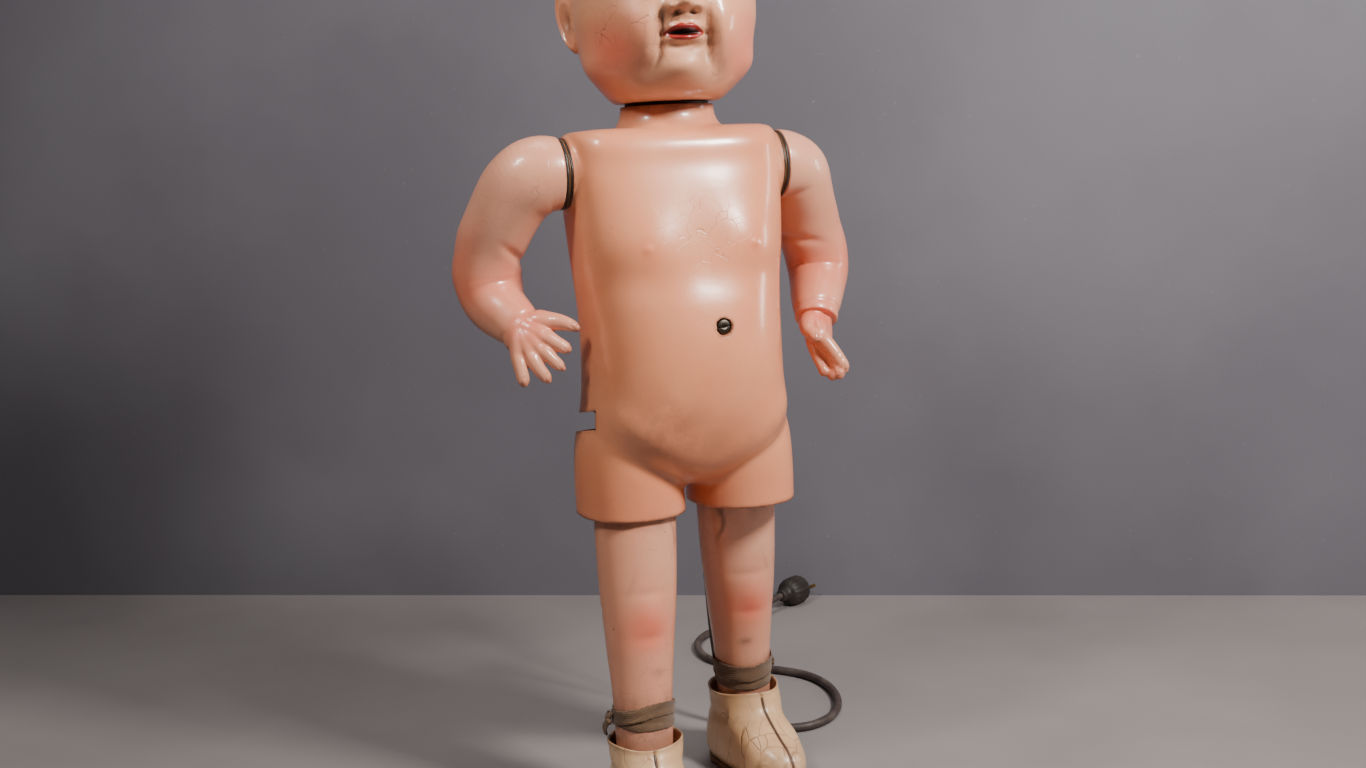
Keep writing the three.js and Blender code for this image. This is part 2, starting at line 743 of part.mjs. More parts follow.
// Levers hang from the shoulder shafts. Their forks ride on the pins of the hip levers.
function armLever(across) {
  const pinDrop = armDrop - armPinReach;
  const plain = plateAcrossX(linkShape(0, pinDrop + 9, 8), armLeverX, armLeverX + armLeverThickness);
  const slotHalf = pinRadius + forkGap;
  const slot = block(armLeverX - 1, armLeverX + 6, -slotHalf, slotHalf, -pinDrop - 40, -pinDrop + 5);
  const bore = barX(armLeverX - 5, armLeverX + 10, 0, 0, shaftRadius + seatGap, 12);
  const headPin = barX(headForkReach - 1, armLeverX + 1, 0, -headPinReach, pinRadius, 10);
  const lever = plain.subtract(slot).subtract(bore);
  const whole = across > 0 ? lever.add(headPin) : lever.mirror([1, 0, 0]);
  return whole
    .rotate([-across * THREE.MathUtils.radToDeg(armRestAngle), 0, 0])
    .translate([0, 0, shoulderHeight]);
}

Object.entries(sides).forEach(([word, across]) => {
  add(`${word}_arm`, mirrored(armSolid(word), across), limbPaint);
  const firstDisc = sideFlat + seatGap;
  const secondDisc = firstDisc + discThickness + seatGap;
  const discHole = barX(sideFlat - 5, armStart + 5, 0, shoulderHeight, shaftRadius + seatGap, 12);
  [
    ["torso", firstDisc],
    ["arm", secondDisc],
  ].forEach(([place, start]) => {
    const disc = barX(start, start + discThickness, 0, shoulderHeight, discRadius, 28).subtract(discHole);
    add(`${word}_${place}_disc`, mirrored(disc, across), darkLeather);
  });
  const shaft = barX(armShaftInner, armShaftOuter, 0, shoulderHeight, shaftRadius, 12);
  add(`${word}_arm_shaft`, mirrored(shaft, across), steel);
  const bush = barX(bossInner + 6, sideFlat, 0, shoulderHeight, bushOuter, 18).subtract(
    barX(bossInner, sideFlat + 5, 0, shoulderHeight, shaftRadius + seatGap, 12),
  );
  add(`${word}_shoulder_bush`, mirrored(bush, across), brass);
  add(`${word}_arm_lever`, armLever(across), steel);
});

// Legs, made upright under the hip and then swung to the stride

const legSides = 16;
const legTop = hipHeight - 40;
const footRadius = 20;
const shoeFloor = soleThickness + seatGap + shoeLeather;
const footDrop = hipHeight - shoeFloor - seatGap - footRadius * Math.sin(strideAngle);
const legFoot = hipHeight - footDrop / Math.cos(strideAngle);
const kneeHeight = (shoeHeight + hemHeight) / 2 + 9;
const legRows = [
  [legFoot, footRadius, footRadius],
  [shoeHeight - 15, 24, 25],
  [shoeHeight + 13, 25, 26],
  [shoeHeight + 37, 26, 27],
  [kneeHeight - 28, 29, 30.5],
  [kneeHeight + 2, 32, 32.5],
  [kneeHeight + 32, 34, 33.5],
  [hemHeight, 35.5, 34],
  [legTop - 20, 35, 33.5],
  [legTop - 5, 32, 31],
  [legTop, 28, 27],
];
const leverSlotLow = hipHeight - 78;
const splayAt = (height) => hipSpread + Math.max(0, hemHeight + 20 - height) * Math.tan(legSplay);
const leverFoot = leverSlotLow + 4;

function legSolid() {
  const solid = loft(
    legRows.map(([height, halfWidth, halfDepth]) =>
      bodyRing(height, halfWidth, halfDepth, halfDepth, 2, legSides, splayAt(height)),
    ),
  );
  const slot = block(
    hipLeverX - seatGap,
    hipLeverX + hipLeverThickness + seatGap,
    -8,
    8,
    leverSlotLow,
    legTop + 10,
  );
  return solid.subtract(slot);
}

function hipLever() {
  const outline = new THREE.Shape();
  const halfWidth = 7;
  const top = armPinReach + 1;
  outline.moveTo(-halfWidth, leverFoot - hipHeight);
  outline.lineTo(halfWidth, leverFoot - hipHeight);
  outline.lineTo(halfWidth, top);
  outline.absarc(0, top, halfWidth, 0, Math.PI, false);
  outline.closePath();
  const cranked = crankHeight - hipHeight;
  const slotReach = crankRadius + pinRadius + 1.5;
  const slotHalf = pinRadius + linkageGap;
  const plain = plateAcrossX(outline, hipLeverX, hipLeverX + hipLeverThickness);
  const slot = block(hipLeverX - 1, hipLeverX + 9, -slotHalf, slotHalf, cranked - slotReach, cranked + slotReach);
  const boss = barX(hipLeverX, hipLeverX + hipLeverThickness + 3, 0, 0, 9, 16);
  const bore = barX(hipLeverX - 5, hipLeverX + 15, 0, 0, shaftRadius + seatGap, 12);
  const pin = barX(hipLeverX + 1, armLeverX + armLeverThickness + 1, 0, armPinReach, pinRadius, 10);
  return join(plain, boss, pin).subtract(slot).subtract(bore).translate([0, 0, hipHeight]);
}

// The shoe: rows of height, half width, toe reach, heel reach
const shoeRows = [
  [soleThickness + seatGap, 30, 86, 37, 2.25],
  [14, 33, 90.5, 39.5, 2.3],
  [24, 33.5, 89, 40, 2.25],
  [34, 33, 80, 39.5, 2.2],
  [42, 32, 66, 38.5, 2.1],
  [50, 31, 53, 37.5, 2.05],
  [60, 31, 42, 36, 2],
  [69, 31.5, 36, 35, 2],
  [shoeHeight, 32.5, 34, 34, 2],
];
const soleMargin = 2;

function shoeLoft(inset, low, high) {
  const heights = shoeRows.map((row) => row[0]).filter((height) => height > low && height < high);
  return loft(
    [low, ...heights, high].map((height) => {
      const [halfWidth, front, back, squareness] = between(shoeRows, height);
      return bodyRing(height, halfWidth - inset, front - inset, back - inset, squareness, 18);
    }),
  );
}

function strapSolid() {
  const low = shoeHeight + strapLift;
  const middle = low + strapHeight / 2;
  const half = between(legRows, middle)[0] + strapLooseness;
  const ring = (grow, reach) =>
    loft(
      [low - reach, middle, low + strapHeight + reach].map((height) => {
        const [halfWidth, halfDepth] = between(legRows, height).map((size) => size + strapLooseness + grow);
        return bodyRing(height, halfWidth, halfDepth, halfDepth, 2, legSides, splayAt(height));
      }),
    );
  const knot = new THREE.SphereGeometry(1, 8, 6);
  knot.scale(5, 8, 8);
  knot.translate(splayAt(middle) + half + strapThickness, 4, middle - 1);
  const tail = bar(
    new THREE.Vector3(splayAt(middle) + half + 3, 7, middle),
    new THREE.Vector3(splayAt(middle) + half + 7, 10, low + 3),
    3.4,
    8,
    2,
  );
  return join(ring(strapThickness, 0), solidOf(knot), tail).subtract(ring(0, 5));
}

Object.entries(sides).forEach(([word, across]) => {
  const swing = across * strideAngle;
  add(`${word}_leg`, mirrored(swung(legSolid(), swing, hipHeight), across), limbPaint);
  add(`${word}_hip_lever`, mirrored(swung(hipLever(), swing, hipHeight), across), steel);
  const ankleY = across * (hipHeight - 56) * Math.sin(strideAngle);
  const turned = (solid) => solid.rotate([0, 0, THREE.MathUtils.radToDeg(toeOut)]).translate([splayAt(shoeHeight) + 0.5, ankleY, 0]);
  const upper = shoeLoft(0, shoeRows[0][0], shoeHeight).subtract(
    shoeLoft(shoeLeather, shoeFloor, shoeHeight - 0.01).add(
      loft(
        [shoeHeight - 1, shoeHeight + 5].map((height) => bodyRing(height, 30, 31.5, 31.5, 2, 18)),
      ),
    ),
  );
  add(`${word}_shoe_upper`, mirrored(turned(upper), across), shoeLeatherPaint);
  const soleOutline = (height, grow) => {
    const [halfWidth, front, back, squareness] = between(shoeRows, shoeRows[0][0]);
    return bodyRing(height, halfWidth + grow, front + grow, back + grow, squareness, 18);
  };
  const sole = loft([soleOutline(0, soleMargin - 0.6), soleOutline(1.5, soleMargin), soleOutline(soleThickness, soleMargin)]);
  add(`${word}_shoe_sole`, mirrored(turned(sole), across), soleLeather);
  const strap = swung(strapSolid(), swing, hipHeight);
  add(`${word}_ankle_strap`, mirrored(strap, across), strapCloth);
});

// Frame

const plateLow = hipHeight - 14;
const plateHigh = shoulderHeight + 15;
const windowHalf = 6.5;
const framePlate = block(plateX, plateX + plateThickness, plateFront, plateBack, plateLow, plateHigh)
  .subtract(barX(plateX - 5, plateX + 10, 0, hipHeight, shaftRadius + seatGap, 12))
  .subtract(barX(plateX - 5, plateX + 10, 0, crankHeight, shaftRadius + seatGap, 12))
  .subtract(block(plateX - 5, plateX + 10, -16, 16, shoulderHeight - headPinReach - windowHalf, shoulderHeight - headPinReach + windowHalf))
  .subtract(block(plateX - 5, plateX + 10, -14, 16, crankHeight + 33, shoulderHeight - 53))
  .subtract(block(plateX - 5, plateX + 10, -16, 16, hipHeight + 16, crankHeight - 19));

Object.entries(sides).forEach(([word, across]) => {
  add(`frame_${word}_plate`, mirrored(framePlate, across), steel);
});

const postReach = plateX - seatGap;
const postPlaces = [
  ["lower_post", -20, plateLow + 8],
  ["rear_post", plateBack - 8, crankHeight + 25],
  ["upper_post", plateFront + 8, shoulderHeight - 55],
];
postPlaces.forEach(([name, y, z]) => {
  add(name, barX(-postReach, postReach, y, z, 5, 10), brass);
});

function bridge(low) {
  return block(-postReach, postReach, -12, 12, low, low + 3.5).subtract(
    barZ(low - 5, low + 10, 0, 0, spindleRadius + 0.5, 14),
  );
}
add("neck_bridge", bridge(shoulderHeight + 11), steel);
add("lower_bridge", bridge(spindleBottom + 3), steel);

// The head lever lies flat on the spindle. Its fork straddles the left arm lever's pin.
const leverHeight = shoulderHeight - headPinReach * Math.cos(armRestAngle);
const headFork = headForkReach + 4;
const headLever = join(
  block(0, headFork, -6, 6, leverHeight - 1.5, leverHeight + 1.5),
  barZ(leverHeight - 4, leverHeight + 4, 0, 0, 10, 16),
)
  .subtract(block(headForkReach - 6, headFork + 1, -pinRadius - forkGap, pinRadius + forkGap, leverHeight - 10, leverHeight + 10))
  .subtract(barZ(leverHeight - 10, leverHeight + 10, 0, 0, spindleRadius + seatGap, 14))
  .rotate([0, 0, -THREE.MathUtils.radToDeg(headLeverAngle)]);
add("head_lever", headLever, steel);

add("hip_shaft", barX(-hipShaftReach, hipShaftReach, 0, hipHeight, shaftRadius, 12), steel);

// Motor and worm, on the axis under the wheel

const motorRadius = 28;
const motorFront = -74;
const motorBack = plateFront - seatGap;
const motorShaftRadius = 3;
const bracketThickness = 3;
const housingWall = 4;
const rotorRadius = 18;
const wormReach = 11;
const bearingY = 26.5;

add(
  "motor_housing",
  join(
    barY(motorFront + 4, motorBack, 0, wormHeight, motorRadius, 28),
    barY(motorFront, motorFront + 5, 0, wormHeight, motorRadius - 4, 28),
  )
    .subtract(barY(motorFront + housingWall + 4, motorBack - housingWall, 0, wormHeight, motorRadius - housingWall, 20))
    .subtract(barY(motorBack - 10, motorBack + 5, 0, wormHeight, motorShaftRadius + 0.7, 12)),
  motorIron,
);
add(
  "motor_rotor",
  join(
    barY(motorFront + housingWall + 8, motorBack - housingWall - 3, 0, wormHeight, rotorRadius, 20),
    barY(motorBack - 12, bearingY + 5, 0, wormHeight, motorShaftRadius, 10),
  ),
  steel,
);
add(
  "motor_bracket",
  block(-postReach, postReach, plateFront, plateFront + bracketThickness, wormHeight - 26, wormHeight + 27).subtract(
    barY(plateFront - 5, plateFront + 10, 0, wormHeight, motorShaftRadius + 0.7, 12),
  ),
  steel,
);
add(
  "worm_bearing",
  block(-postReach, postReach, bearingY, bearingY + 4, wormHeight - 11, wormHeight + 11).subtract(
    barY(bearingY - 5, bearingY + 10, 0, wormHeight, motorShaftRadius + 0.5, 12),
  ),
  brass,
);

// The bolt in the belly holds the motor to the front wall
const bellyHeadFace = bellyFace + 1.5;
add(
  "belly_screw",
  join(
    barY(bellyHeadFace, bellyHeadFace + 4, bellyScrewX, navelHeight, bellyHeadRadius, 20),
    barY(bellyHeadFace + 3, motorFront - seatGap, bellyScrewX, navelHeight, bellyShankRadius, 12),
  ).subtract(
    block(bellyScrewX - 9, bellyScrewX + 9, bellyHeadFace - 1, bellyHeadFace + 1.5, navelHeight - 0.9, navelHeight + 0.9),
  ),
  steel,
);

// The worm's thread: a thin ridge that winds once round for each tooth of the wheel
const lead = Math.PI * toothModule;
const wormTurns = 4;
const threadSteps = 8;

function wormThread() {
  const rings = [];
  for (let i = 0; i <= wormTurns * threadSteps; i++) {
    const turn = i / threadSteps - wormTurns / 2;
    const angle = 2 * Math.PI * turn;
    const middle = lead * (turn + 0.5);
    const corner = (radius, shift) =>
      new THREE.Vector3(radius * Math.sin(angle), middle + shift, wormHeight + radius * Math.cos(angle));
    const root = wormRadius - toothRoot;
    const tip = wormRadius + toothReach;
    rings.push([corner(root - 0.6, -0.8), corner(tip, -0.45), corner(tip, 0.45), corner(root - 0.6, 0.8)]);
  }
  return loft(rings);
}
add(
  "worm",
  join(barY(-wormReach - 2, wormReach + 3, 0, wormHeight, wormRadius - toothRoot, 16), wormThread()).subtract(
    barY(-40, 40, 0, wormHeight, motorShaftRadius + seatGap, 10),
  ),
  brass,
);

function wheelShape() {
  const shape = new THREE.Shape();
  const pitch = (2 * Math.PI) / wheelTeeth;
  const tip = pitchRadius + toothReach;
  const root = pitchRadius - toothRoot;
  for (let i = 0; i < wheelTeeth; i++) {
    const middle = -Math.PI / 2 + i * pitch;
    const corners = [
      [root, -0.95 / root],
      [tip, -0.55 / tip],
      [tip, 0.55 / tip],
      [root, 0.95 / root],
    ];
    corners.forEach(([radius, turn], j) => {
      const x = radius * Math.cos(middle + turn);
      const y = radius * Math.sin(middle + turn);
      if (i === 0 && j === 0) shape.moveTo(x, y);
      else shape.lineTo(x, y);
    });
  }
  shape.closePath();
  return shape;
}
const wheelHalf = 3;
add(
  "worm_wheel",
  join(
    plateAcrossX(wheelShape(), -wheelHalf, wheelHalf).translate([0, 0, crankHeight]),
    barX(-8, 8, 0, crankHeight, 9, 16),
  ).subtract(barX(-20, 20, 0, crankHeight, shaftRadius + seatGap, 12)),
  brass,
);
const crankShaftReach = crankX + crankThickness;
add("crankshaft", barX(-crankShaftReach, crankShaftReach, 0, crankHeight, shaftRadius, 12), steel);

Object.entries(sides).forEach(([word, across]) => {
  const pinY = -across * crankRadius;
  const crank = join(
    barX(crankX, crankX + crankThickness, 0, crankHeight, crankRadius + 6, 20),
    barX(crankX + 1, hipLeverX - linkageGap, pinY, crankHeight, pinRadius, 10),
  ).subtract(barX(crankX - 5, crankX + 8, 0, crankHeight, shaftRadius + seatGap, 12));
  add(`${word}_crank`, mirrored(crank, across), steel);
});

// Cord: out of the back, down to the floor behind the left foot, and round a loop to its plug

function cordSolid(points, radius, steps, count) {
  const path = new THREE.CatmullRomCurve3(points.map((p) => new THREE.Vector3(...p)), false, "centripetal");
  const section = new THREE.Shape();
  for (let i = 0; i < count; i++) {
    const angle = (2 * Math.PI * (i + 0.5)) / count;
    if (i === 0) section.moveTo(radius * Math.cos(angle), radius * Math.sin(angle));
    else section.lineTo(radius * Math.cos(angle), radius * Math.sin(angle));
  }
  section.closePath();
  return solidOf(new THREE.ExtrudeGeometry(section, { steps, bevelEnabled: false, extrudePath: path }));
}

const grommetFace = torsoReachAtCord() + 3;
const grommetInner = torsoReachAtCord() - thighWall - 4.5;

// The thigh and the torso both reach the cord's exit. The further one sets the grommet.
function torsoReachAtCord() {
  return Math.max(between(thighRows, cordExitHeight)[1], torsoReach(2, cordExitX, cordExitHeight));
}
const reliefLength = 26;
const reliefRootRadius = 7;
const reliefTipRadius = 5.8;
const reliefBore = cordRadius + 0.5;
const atExit = (y) => new THREE.Vector3(cordExitX, y, cordExitHeight);
add(
  "cord_grommet",
  join(
    barY(grommetInner, grommetFace, cordExitX, cordExitHeight, grommetRadius, 18),
    bar(atExit(grommetFace - 1), atExit(grommetFace + reliefLength), reliefRootRadius, 16, reliefTipRadius),
  ).subtract(barY(grommetInner - 5, grommetFace + reliefLength + 5, cordExitX, cordExitHeight, reliefBore, 12)),
  cordRubber,
);

const plugRadius = 17.5;
const plugAxisHeight = plugRadius;
const plugStart = new THREE.Vector3(290, 467, plugAxisHeight);
const plugWay = new THREE.Vector3(0.86, 0.51, 0).normalize();
const plugLength = 42;
const cordPoints = [
  [cordExitX, grommetInner + 2, cordExitHeight],
  [cordExitX, 88, cordExitHeight],
  [cordExitX + 0.4, 96, cordExitHeight - 0.2],
  [cordExitX + 1.5, 110, cordExitHeight - 4],
  [cordExitX + 3.5, 123.5, cordExitHeight - 14.1],
  [cordExitX + 6, 132.5, cordExitHeight - 31.6],
  [cordExitX + 8.5, 137.3, cordExitHeight - 56.6],
  [67, 139, cordExitHeight * 0.684],
  [69, 139, cordExitHeight * 0.559],
  [70.5, 138.5, 134],
  [71.8, 137, 100],
  [73.5, 134, 72],
  [77, 128.5, 48],
  [83.5, 120.5, 28],
  [93, 110.5, 13.5],
  [104.5, 99.5, 6.4],
  [117, 90, 4.5],
  [131, 83, 4.4],
  [146, 80.9, 4.4],
  [161, 84.4, 4.4],
  [178, 95, 4.4],
  [194, 114, 4.4],
  [206, 139, 4.4],
  [213, 167, 4.4],
  [213.5, 196, 4.4],
  [206, 222, 4.4],
  [190, 245, 4.4],
  [168, 268, 4.4],
  [149, 290, 4.4],
  [137, 313, 4.4],
  [134, 338, 4.4],
  [138.5, 364, 4.4],
  [149.5, 388, 4.4],
  [166, 405.5, 4.4],
  [188, 417.5, 4.4],
  [212, 425.5, 4.8],
  [236, 435, 8.3],
  [257, 446.5, 14.2],
  ...[16, 8, seatGap].map((before) => [
    plugStart.x - before * plugWay.x,
    plugStart.y - before * plugWay.y,
    plugAxisHeight,
  ]),
];
add("power_cord", cordSolid(cordPoints, cordRadius, cordSteps, 8), cordRubber);

// The plug lies on its side, with its pins toward the wall
function alongPlug(profile, count) {
  const lathe = new THREE.LatheGeometry(profile.map(([radius, at]) => new THREE.Vector2(radius, at)), count);
  const turn = new THREE.Quaternion().setFromUnitVectors(new THREE.Vector3(0, 1, 0), plugWay);
  lathe.applyQuaternion(turn);
  lathe.translate(plugStart.x, plugStart.y, plugStart.z);
  return solidOf(lathe);
}
add(
  "cord_plug",
  alongPlug(
    [
      [0, 0],
      [7, 0],
      [8, 10],
      [13, 13],
      [plugRadius - 0.5, 19],
      [plugRadius, 26],
      [plugRadius, plugLength - 2],
      [plugRadius - 1, plugLength],
      [0, plugLength],
    ],
    20,
  ),
  plugMoulding,
);
const pinSpread = 9.5;
const pinLength = 19;
[1, 2].forEach((number) => {
  const sideways = new THREE.Vector3(-plugWay.y, plugWay.x, 0);
  const offset = number === 1 ? -pinSpread : pinSpread;
  const start = plugStart
    .clone()
    .addScaledVector(plugWay, plugLength + seatGap)
    .addScaledVector(sideways, offset);
  const end = start.clone().addScaledVector(plugWay, pinLength);
  add(`plug_pin_${number}`, bar(start, end, 2.2, 10), brass);
});

const leadLow = hipHeight - 29;
const motorUnderside = wormHeight - motorRadius;
const leadPoints = [
  [cordExitX, grommetInner - 0.8, cordExitHeight],
  [cordExitX, grommetInner - 4, cordExitHeight + 2],
  [cordExitX - 1, grommetInner - 5.5, cordExitHeight + 10],
  [cordExitX - 6, 43, cordExitHeight + 18],
  [38, 40, leadLow],
  [14, 30, leadLow],
  [3, 8, leadLow],
  [0, -25, leadLow + 3],
  [0, -42, leadLow + (motorUnderside - leadLow) / 3],
  [0, -50, motorUnderside - 12.5],
  [0, -52, motorUnderside - 0.5],
];
add("motor_lead", cordSolid(leadPoints, 2.4, 18, 6), cordRubber);

doll.children.forEach((mesh) => mesh.geometry.translate(0, frameShift, 0));

export default doll;
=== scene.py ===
"""Looks of the electric walking doll: lacquered body, painted face, leather shoes, straps and cord."""
import json
from math import cos, pi, radians, sin, tan

import bmesh
import bpy
import numpy as np
from mathutils import Matrix, Vector


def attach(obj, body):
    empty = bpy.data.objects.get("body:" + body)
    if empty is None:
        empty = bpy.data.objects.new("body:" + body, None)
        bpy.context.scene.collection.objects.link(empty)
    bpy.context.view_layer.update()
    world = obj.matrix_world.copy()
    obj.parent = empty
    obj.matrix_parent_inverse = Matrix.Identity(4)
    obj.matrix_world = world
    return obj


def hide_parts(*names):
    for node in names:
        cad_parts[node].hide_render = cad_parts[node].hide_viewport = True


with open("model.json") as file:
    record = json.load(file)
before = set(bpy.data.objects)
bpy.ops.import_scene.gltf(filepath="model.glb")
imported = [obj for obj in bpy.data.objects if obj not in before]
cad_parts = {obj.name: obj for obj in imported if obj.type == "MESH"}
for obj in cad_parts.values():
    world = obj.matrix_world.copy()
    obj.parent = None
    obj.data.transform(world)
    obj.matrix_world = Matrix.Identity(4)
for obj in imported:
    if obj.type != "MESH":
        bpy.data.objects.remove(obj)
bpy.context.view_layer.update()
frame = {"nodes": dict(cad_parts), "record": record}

# Sizes in millimetres, and angles
SHIFT = 22.05
HEM = 263
HIP = 360
NAVEL = 424
SHOULDER = 553
ROOM = (SHOULDER - 53, SHOULDER + 67)
NECK_TOP = 606
HEAD_BASE = NECK_TOP + 2.4 + 0.6
SIDE_FLAT = 93.5
BOSS_R = 30.2
THIGH_X = 51
STRIDE = radians(8)
SPLAY = radians(3.2)
TOE_OUT = radians(6)
HEAD_TURN = radians(-8)
# The doll's sides, and the axes of pieces that are turned front to back
SIDES = (("right", -1), ("left", 1))
X, Y, Z = np.eye(3)
BACKWARD = (X, Z, Y)
rng = np.random.default_rng(7)


def place(p):
    """Millimetres about the hips' axis to metres in the row frame."""
    q = np.asarray(p, float).copy()
    q[..., 1] += SHIFT
    return q / 1000


def ease(a, b, x):
    """Rises smoothly from 0 at a to 1 at b, or falls where b lies under a."""
    t = np.clip((np.asarray(x, float) - a) / (b - a), 0, 1)
    return t * t * (3 - 2 * t)


def turns(count):
    return np.linspace(0, 2 * pi, count, endpoint=False)


def bell(*ways):
    """One at the middle, falling off like a bell with the distances in half-widths."""
    return np.exp(-sum(way * way for way in ways))


def unit(v):
    return v / np.linalg.norm(v)


def between(rows, at):
    """A row's values at a place, on smooth curves through the rows."""
    last = len(rows) - 1
    at = min(max(at, rows[0][0]), rows[last][0])
    i = 0
    while i < last - 1 and rows[i + 1][0] < at:
        i += 1

    def slope(n, c):
        a, b = rows[max(n - 1, 0)], rows[min(n + 1, last)]
        return (b[c] - a[c]) / (b[0] - a[0])

    span = rows[i + 1][0] - rows[i][0]
    t = (at - rows[i][0]) / span
    out = []
    for c in range(1, len(rows[0])):
        rise = t * t * (3 - 2 * t)
        out.append(
            rows[i][c] * (1 - rise)
            + rows[i + 1][c] * rise
            + t * (1 - t) ** 2 * span * slope(i, c)
            + t * t * (t - 1) * span * slope(i + 1, c)
        )
    return out


def body_ring(z, half, front, back, square, count, x=0.0, angles=None):
    """A rounded-square ring in a level plane."""
    a = turns(count) if angles is None else angles
    c, s = np.cos(a), np.sin(a)
    power = 2 / square
    across = x + half * np.sign(c) * np.abs(c) ** power
    deep = np.where(s < 0, front, back) * np.sign(s) * np.abs(s) ** power
    return np.stack([across, deep, np.full_like(a, z)], 1)


def inset_ring(rows, z, inset, count):
    """The ring of a table of half-width, front, back and squareness, moved inward."""
    half, front, back, square = between(rows, z)
    return body_ring(z, half - inset, front - inset, back - inset, square, count)


def shown(ob):
    """Puts a new object in the scene."""
    bpy.context.scene.collection.objects.link(ob)
    return ob


def mesh_object(name, verts, faces, smooth=True):
    me = bpy.data.meshes.new(name)
    me.from_pydata([tuple(v) for v in verts], [], faces)
    me.update()
    bm = bmesh.new()
    bm.from_mesh(me)
    bmesh.ops.recalc_face_normals(bm, faces=bm.faces)
    bm.to_mesh(me)
    bm.free()
    me.polygons.foreach_set("use_smooth", [smooth] * len(me.polygons))
    return shown(bpy.data.objects.new(name, me))


def grid(rows, cols, closed=True):
    """The faces between rows of equally many points."""
    faces = []
    for i in range(rows - 1):
        for j in range(cols if closed else cols - 1):
            k = (j + 1) % cols
            faces.append((i * cols + j, i * cols + k, (i + 1) * cols + k, (i + 1) * cols + j))
    return faces


def loft(name, rings, caps=True, closed=True):
    """A skin through rings of equally many points, with a fan over each end."""
    rings = np.asarray(rings, float)
    n, count, _ = rings.shape
    verts = rings.reshape(-1, 3)
    faces = grid(n, count, closed)
    if caps:
        verts = np.vstack([verts, rings[0].mean(0), rings[-1].mean(0)])
        low, high = len(verts) - 2, len(verts) - 1
        for j in range(count):
            k = (j + 1) % count
            faces.append((low, k, j))
            faces.append((high, (n - 1) * count + j, (n - 1) * count + k))
    return mesh_object(name, place(verts), faces)


def lathe(name, at, axes, rows, a, caps=True):
    """A turned piece about the third axis, through rows of distance and radius."""
    u, v, w = axes
    rings = [at + np.outer(np.cos(a) * r, u) + np.outer(np.sin(a) * r, v) + d * w for d, r in rows]
    return loft(name, rings, caps)


def settle(ob):
    """Applies the object's modifiers."""
    graph = bpy.context.evaluated_depsgraph_get()
    graph.update()
    me = bpy.data.meshes.new_from_object(ob.evaluated_get(graph))
    ob.modifiers.clear()
    old = ob.data
    ob.data = me
    me.name = ob.name
    bpy.data.meshes.remove(old)
    return ob


def modifier(ob, kind, **values):
    m = ob.modifiers.new(kind.lower(), kind)
    for k, v in values.items():
        setattr(m, k, v)
    return m


def boolean(ob, cutter, how="DIFFERENCE"):
    modifier(ob, "BOOLEAN", object=cutter, operation=how, solver="EXACT")
    settle(ob)
    bpy.data.objects.remove(cutter)
    return ob


def per_vertex(ob, key):
    values = np.empty(len(ob.data.vertices) * 3)
    ob.data.vertices.foreach_get(key, values)
    return values.reshape(-1, 3)


def points(ob):
    return per_vertex(ob, "co") * 1000 - [0, SHIFT, 0]


def joined(name, obs):
    """One object from several."""
    verts, faces, start = [], [], 0
    for o in obs:
        verts.append(per_vertex(o, "co"))
        faces += [tuple(start + v for v in p.vertices) for p in o.data.polygons]
        start += len(verts[-1])
        bpy.data.objects.remove(o)
    return mesh_object(name, np.vstack(verts), faces)


def remeshed(ob, voxel, smooths):
    modifier(ob, "REMESH", mode="VOXEL", voxel_size=voxel / 1000, use_smooth_shade=True)
    modifier(ob, "SMOOTH", iterations=smooths, factor=0.5)
    return settle(ob)


def set_points(ob, q):
    ob.data.vertices.foreach_set("co", place(q).reshape(-1))
    ob.data.update()


def paint(ob, name, values):
    a = ob.data.attributes.get(name) or ob.data.attributes.new(name, "FLOAT", "POINT")
    a.data.foreach_set("value", np.broadcast_to(np.float32(values), len(ob.data.vertices)).copy())


def wear_and_shade(ob, grime_and_shade, blush=None):
    """Paints the dark mask that the materials read, partly grime and partly painted shade, and, where
    it's given, the blush.
    """
    paint(ob, "grime_and_shade", np.clip(grime_and_shade, 0, 1))
    if blush is not None:
        paint(ob, "blush", np.clip(blush, 0, 1))


def block(x0, x1, y0, y1, z0, z1):
    x = [(a, b, c) for a in (x0, x1) for b in (y0, y1) for c in (z0, z1)]
    f = [(0, 1, 3, 2), (4, 6, 7, 5), (0, 4, 5, 1), (2, 3, 7, 6), (0, 2, 6, 4), (1, 5, 7, 3)]
    return mesh_object("cutter", place(np.array(x, float)), f, smooth=False)


def bar(a, b, radius, sides=32, end=None):
    a, b = np.array(a, float), np.array(b, float)
    along = unit(b - a)
    u = unit(np.cross(along, [0.3, 0.5, 0.81]))
    rows = [(0, radius), (np.linalg.norm(b - a), radius if end is None else end)]
    return lathe("cutter", a, (u, np.cross(along, u), along), rows, turns(sides))


# Camera: at the photograph's angle, distance and lens

AIM = radians(-20)
TILT = radians(8.06)
LEAN = radians(2.8)
PAN = radians(0.11)
DISTANCE = 1.3
EYE = 0.552
SENSOR = 36
FOCAL_PX = 1512
FRAME_PX = 1366
camera = shown(bpy.data.objects.new("camera", bpy.data.cameras.new("camera")))
camera.data.sensor_width = SENSOR
camera.data.lens = SENSOR * FOCAL_PX / FRAME_PX
camera.data.clip_end = 50
camera.location = (DISTANCE * sin(AIM), SHIFT / 1000 - DISTANCE * cos(AIM), EYE)
swing = Matrix.Rotation(AIM - PAN, 3, "Z") @ Matrix.Rotation(pi / 2 - TILT, 3, "X")
camera.rotation_euler = (swing @ Matrix.Rotation(-LEAN, 3, "Z")).to_euler()
bpy.context.scene.camera = camera

# Materials


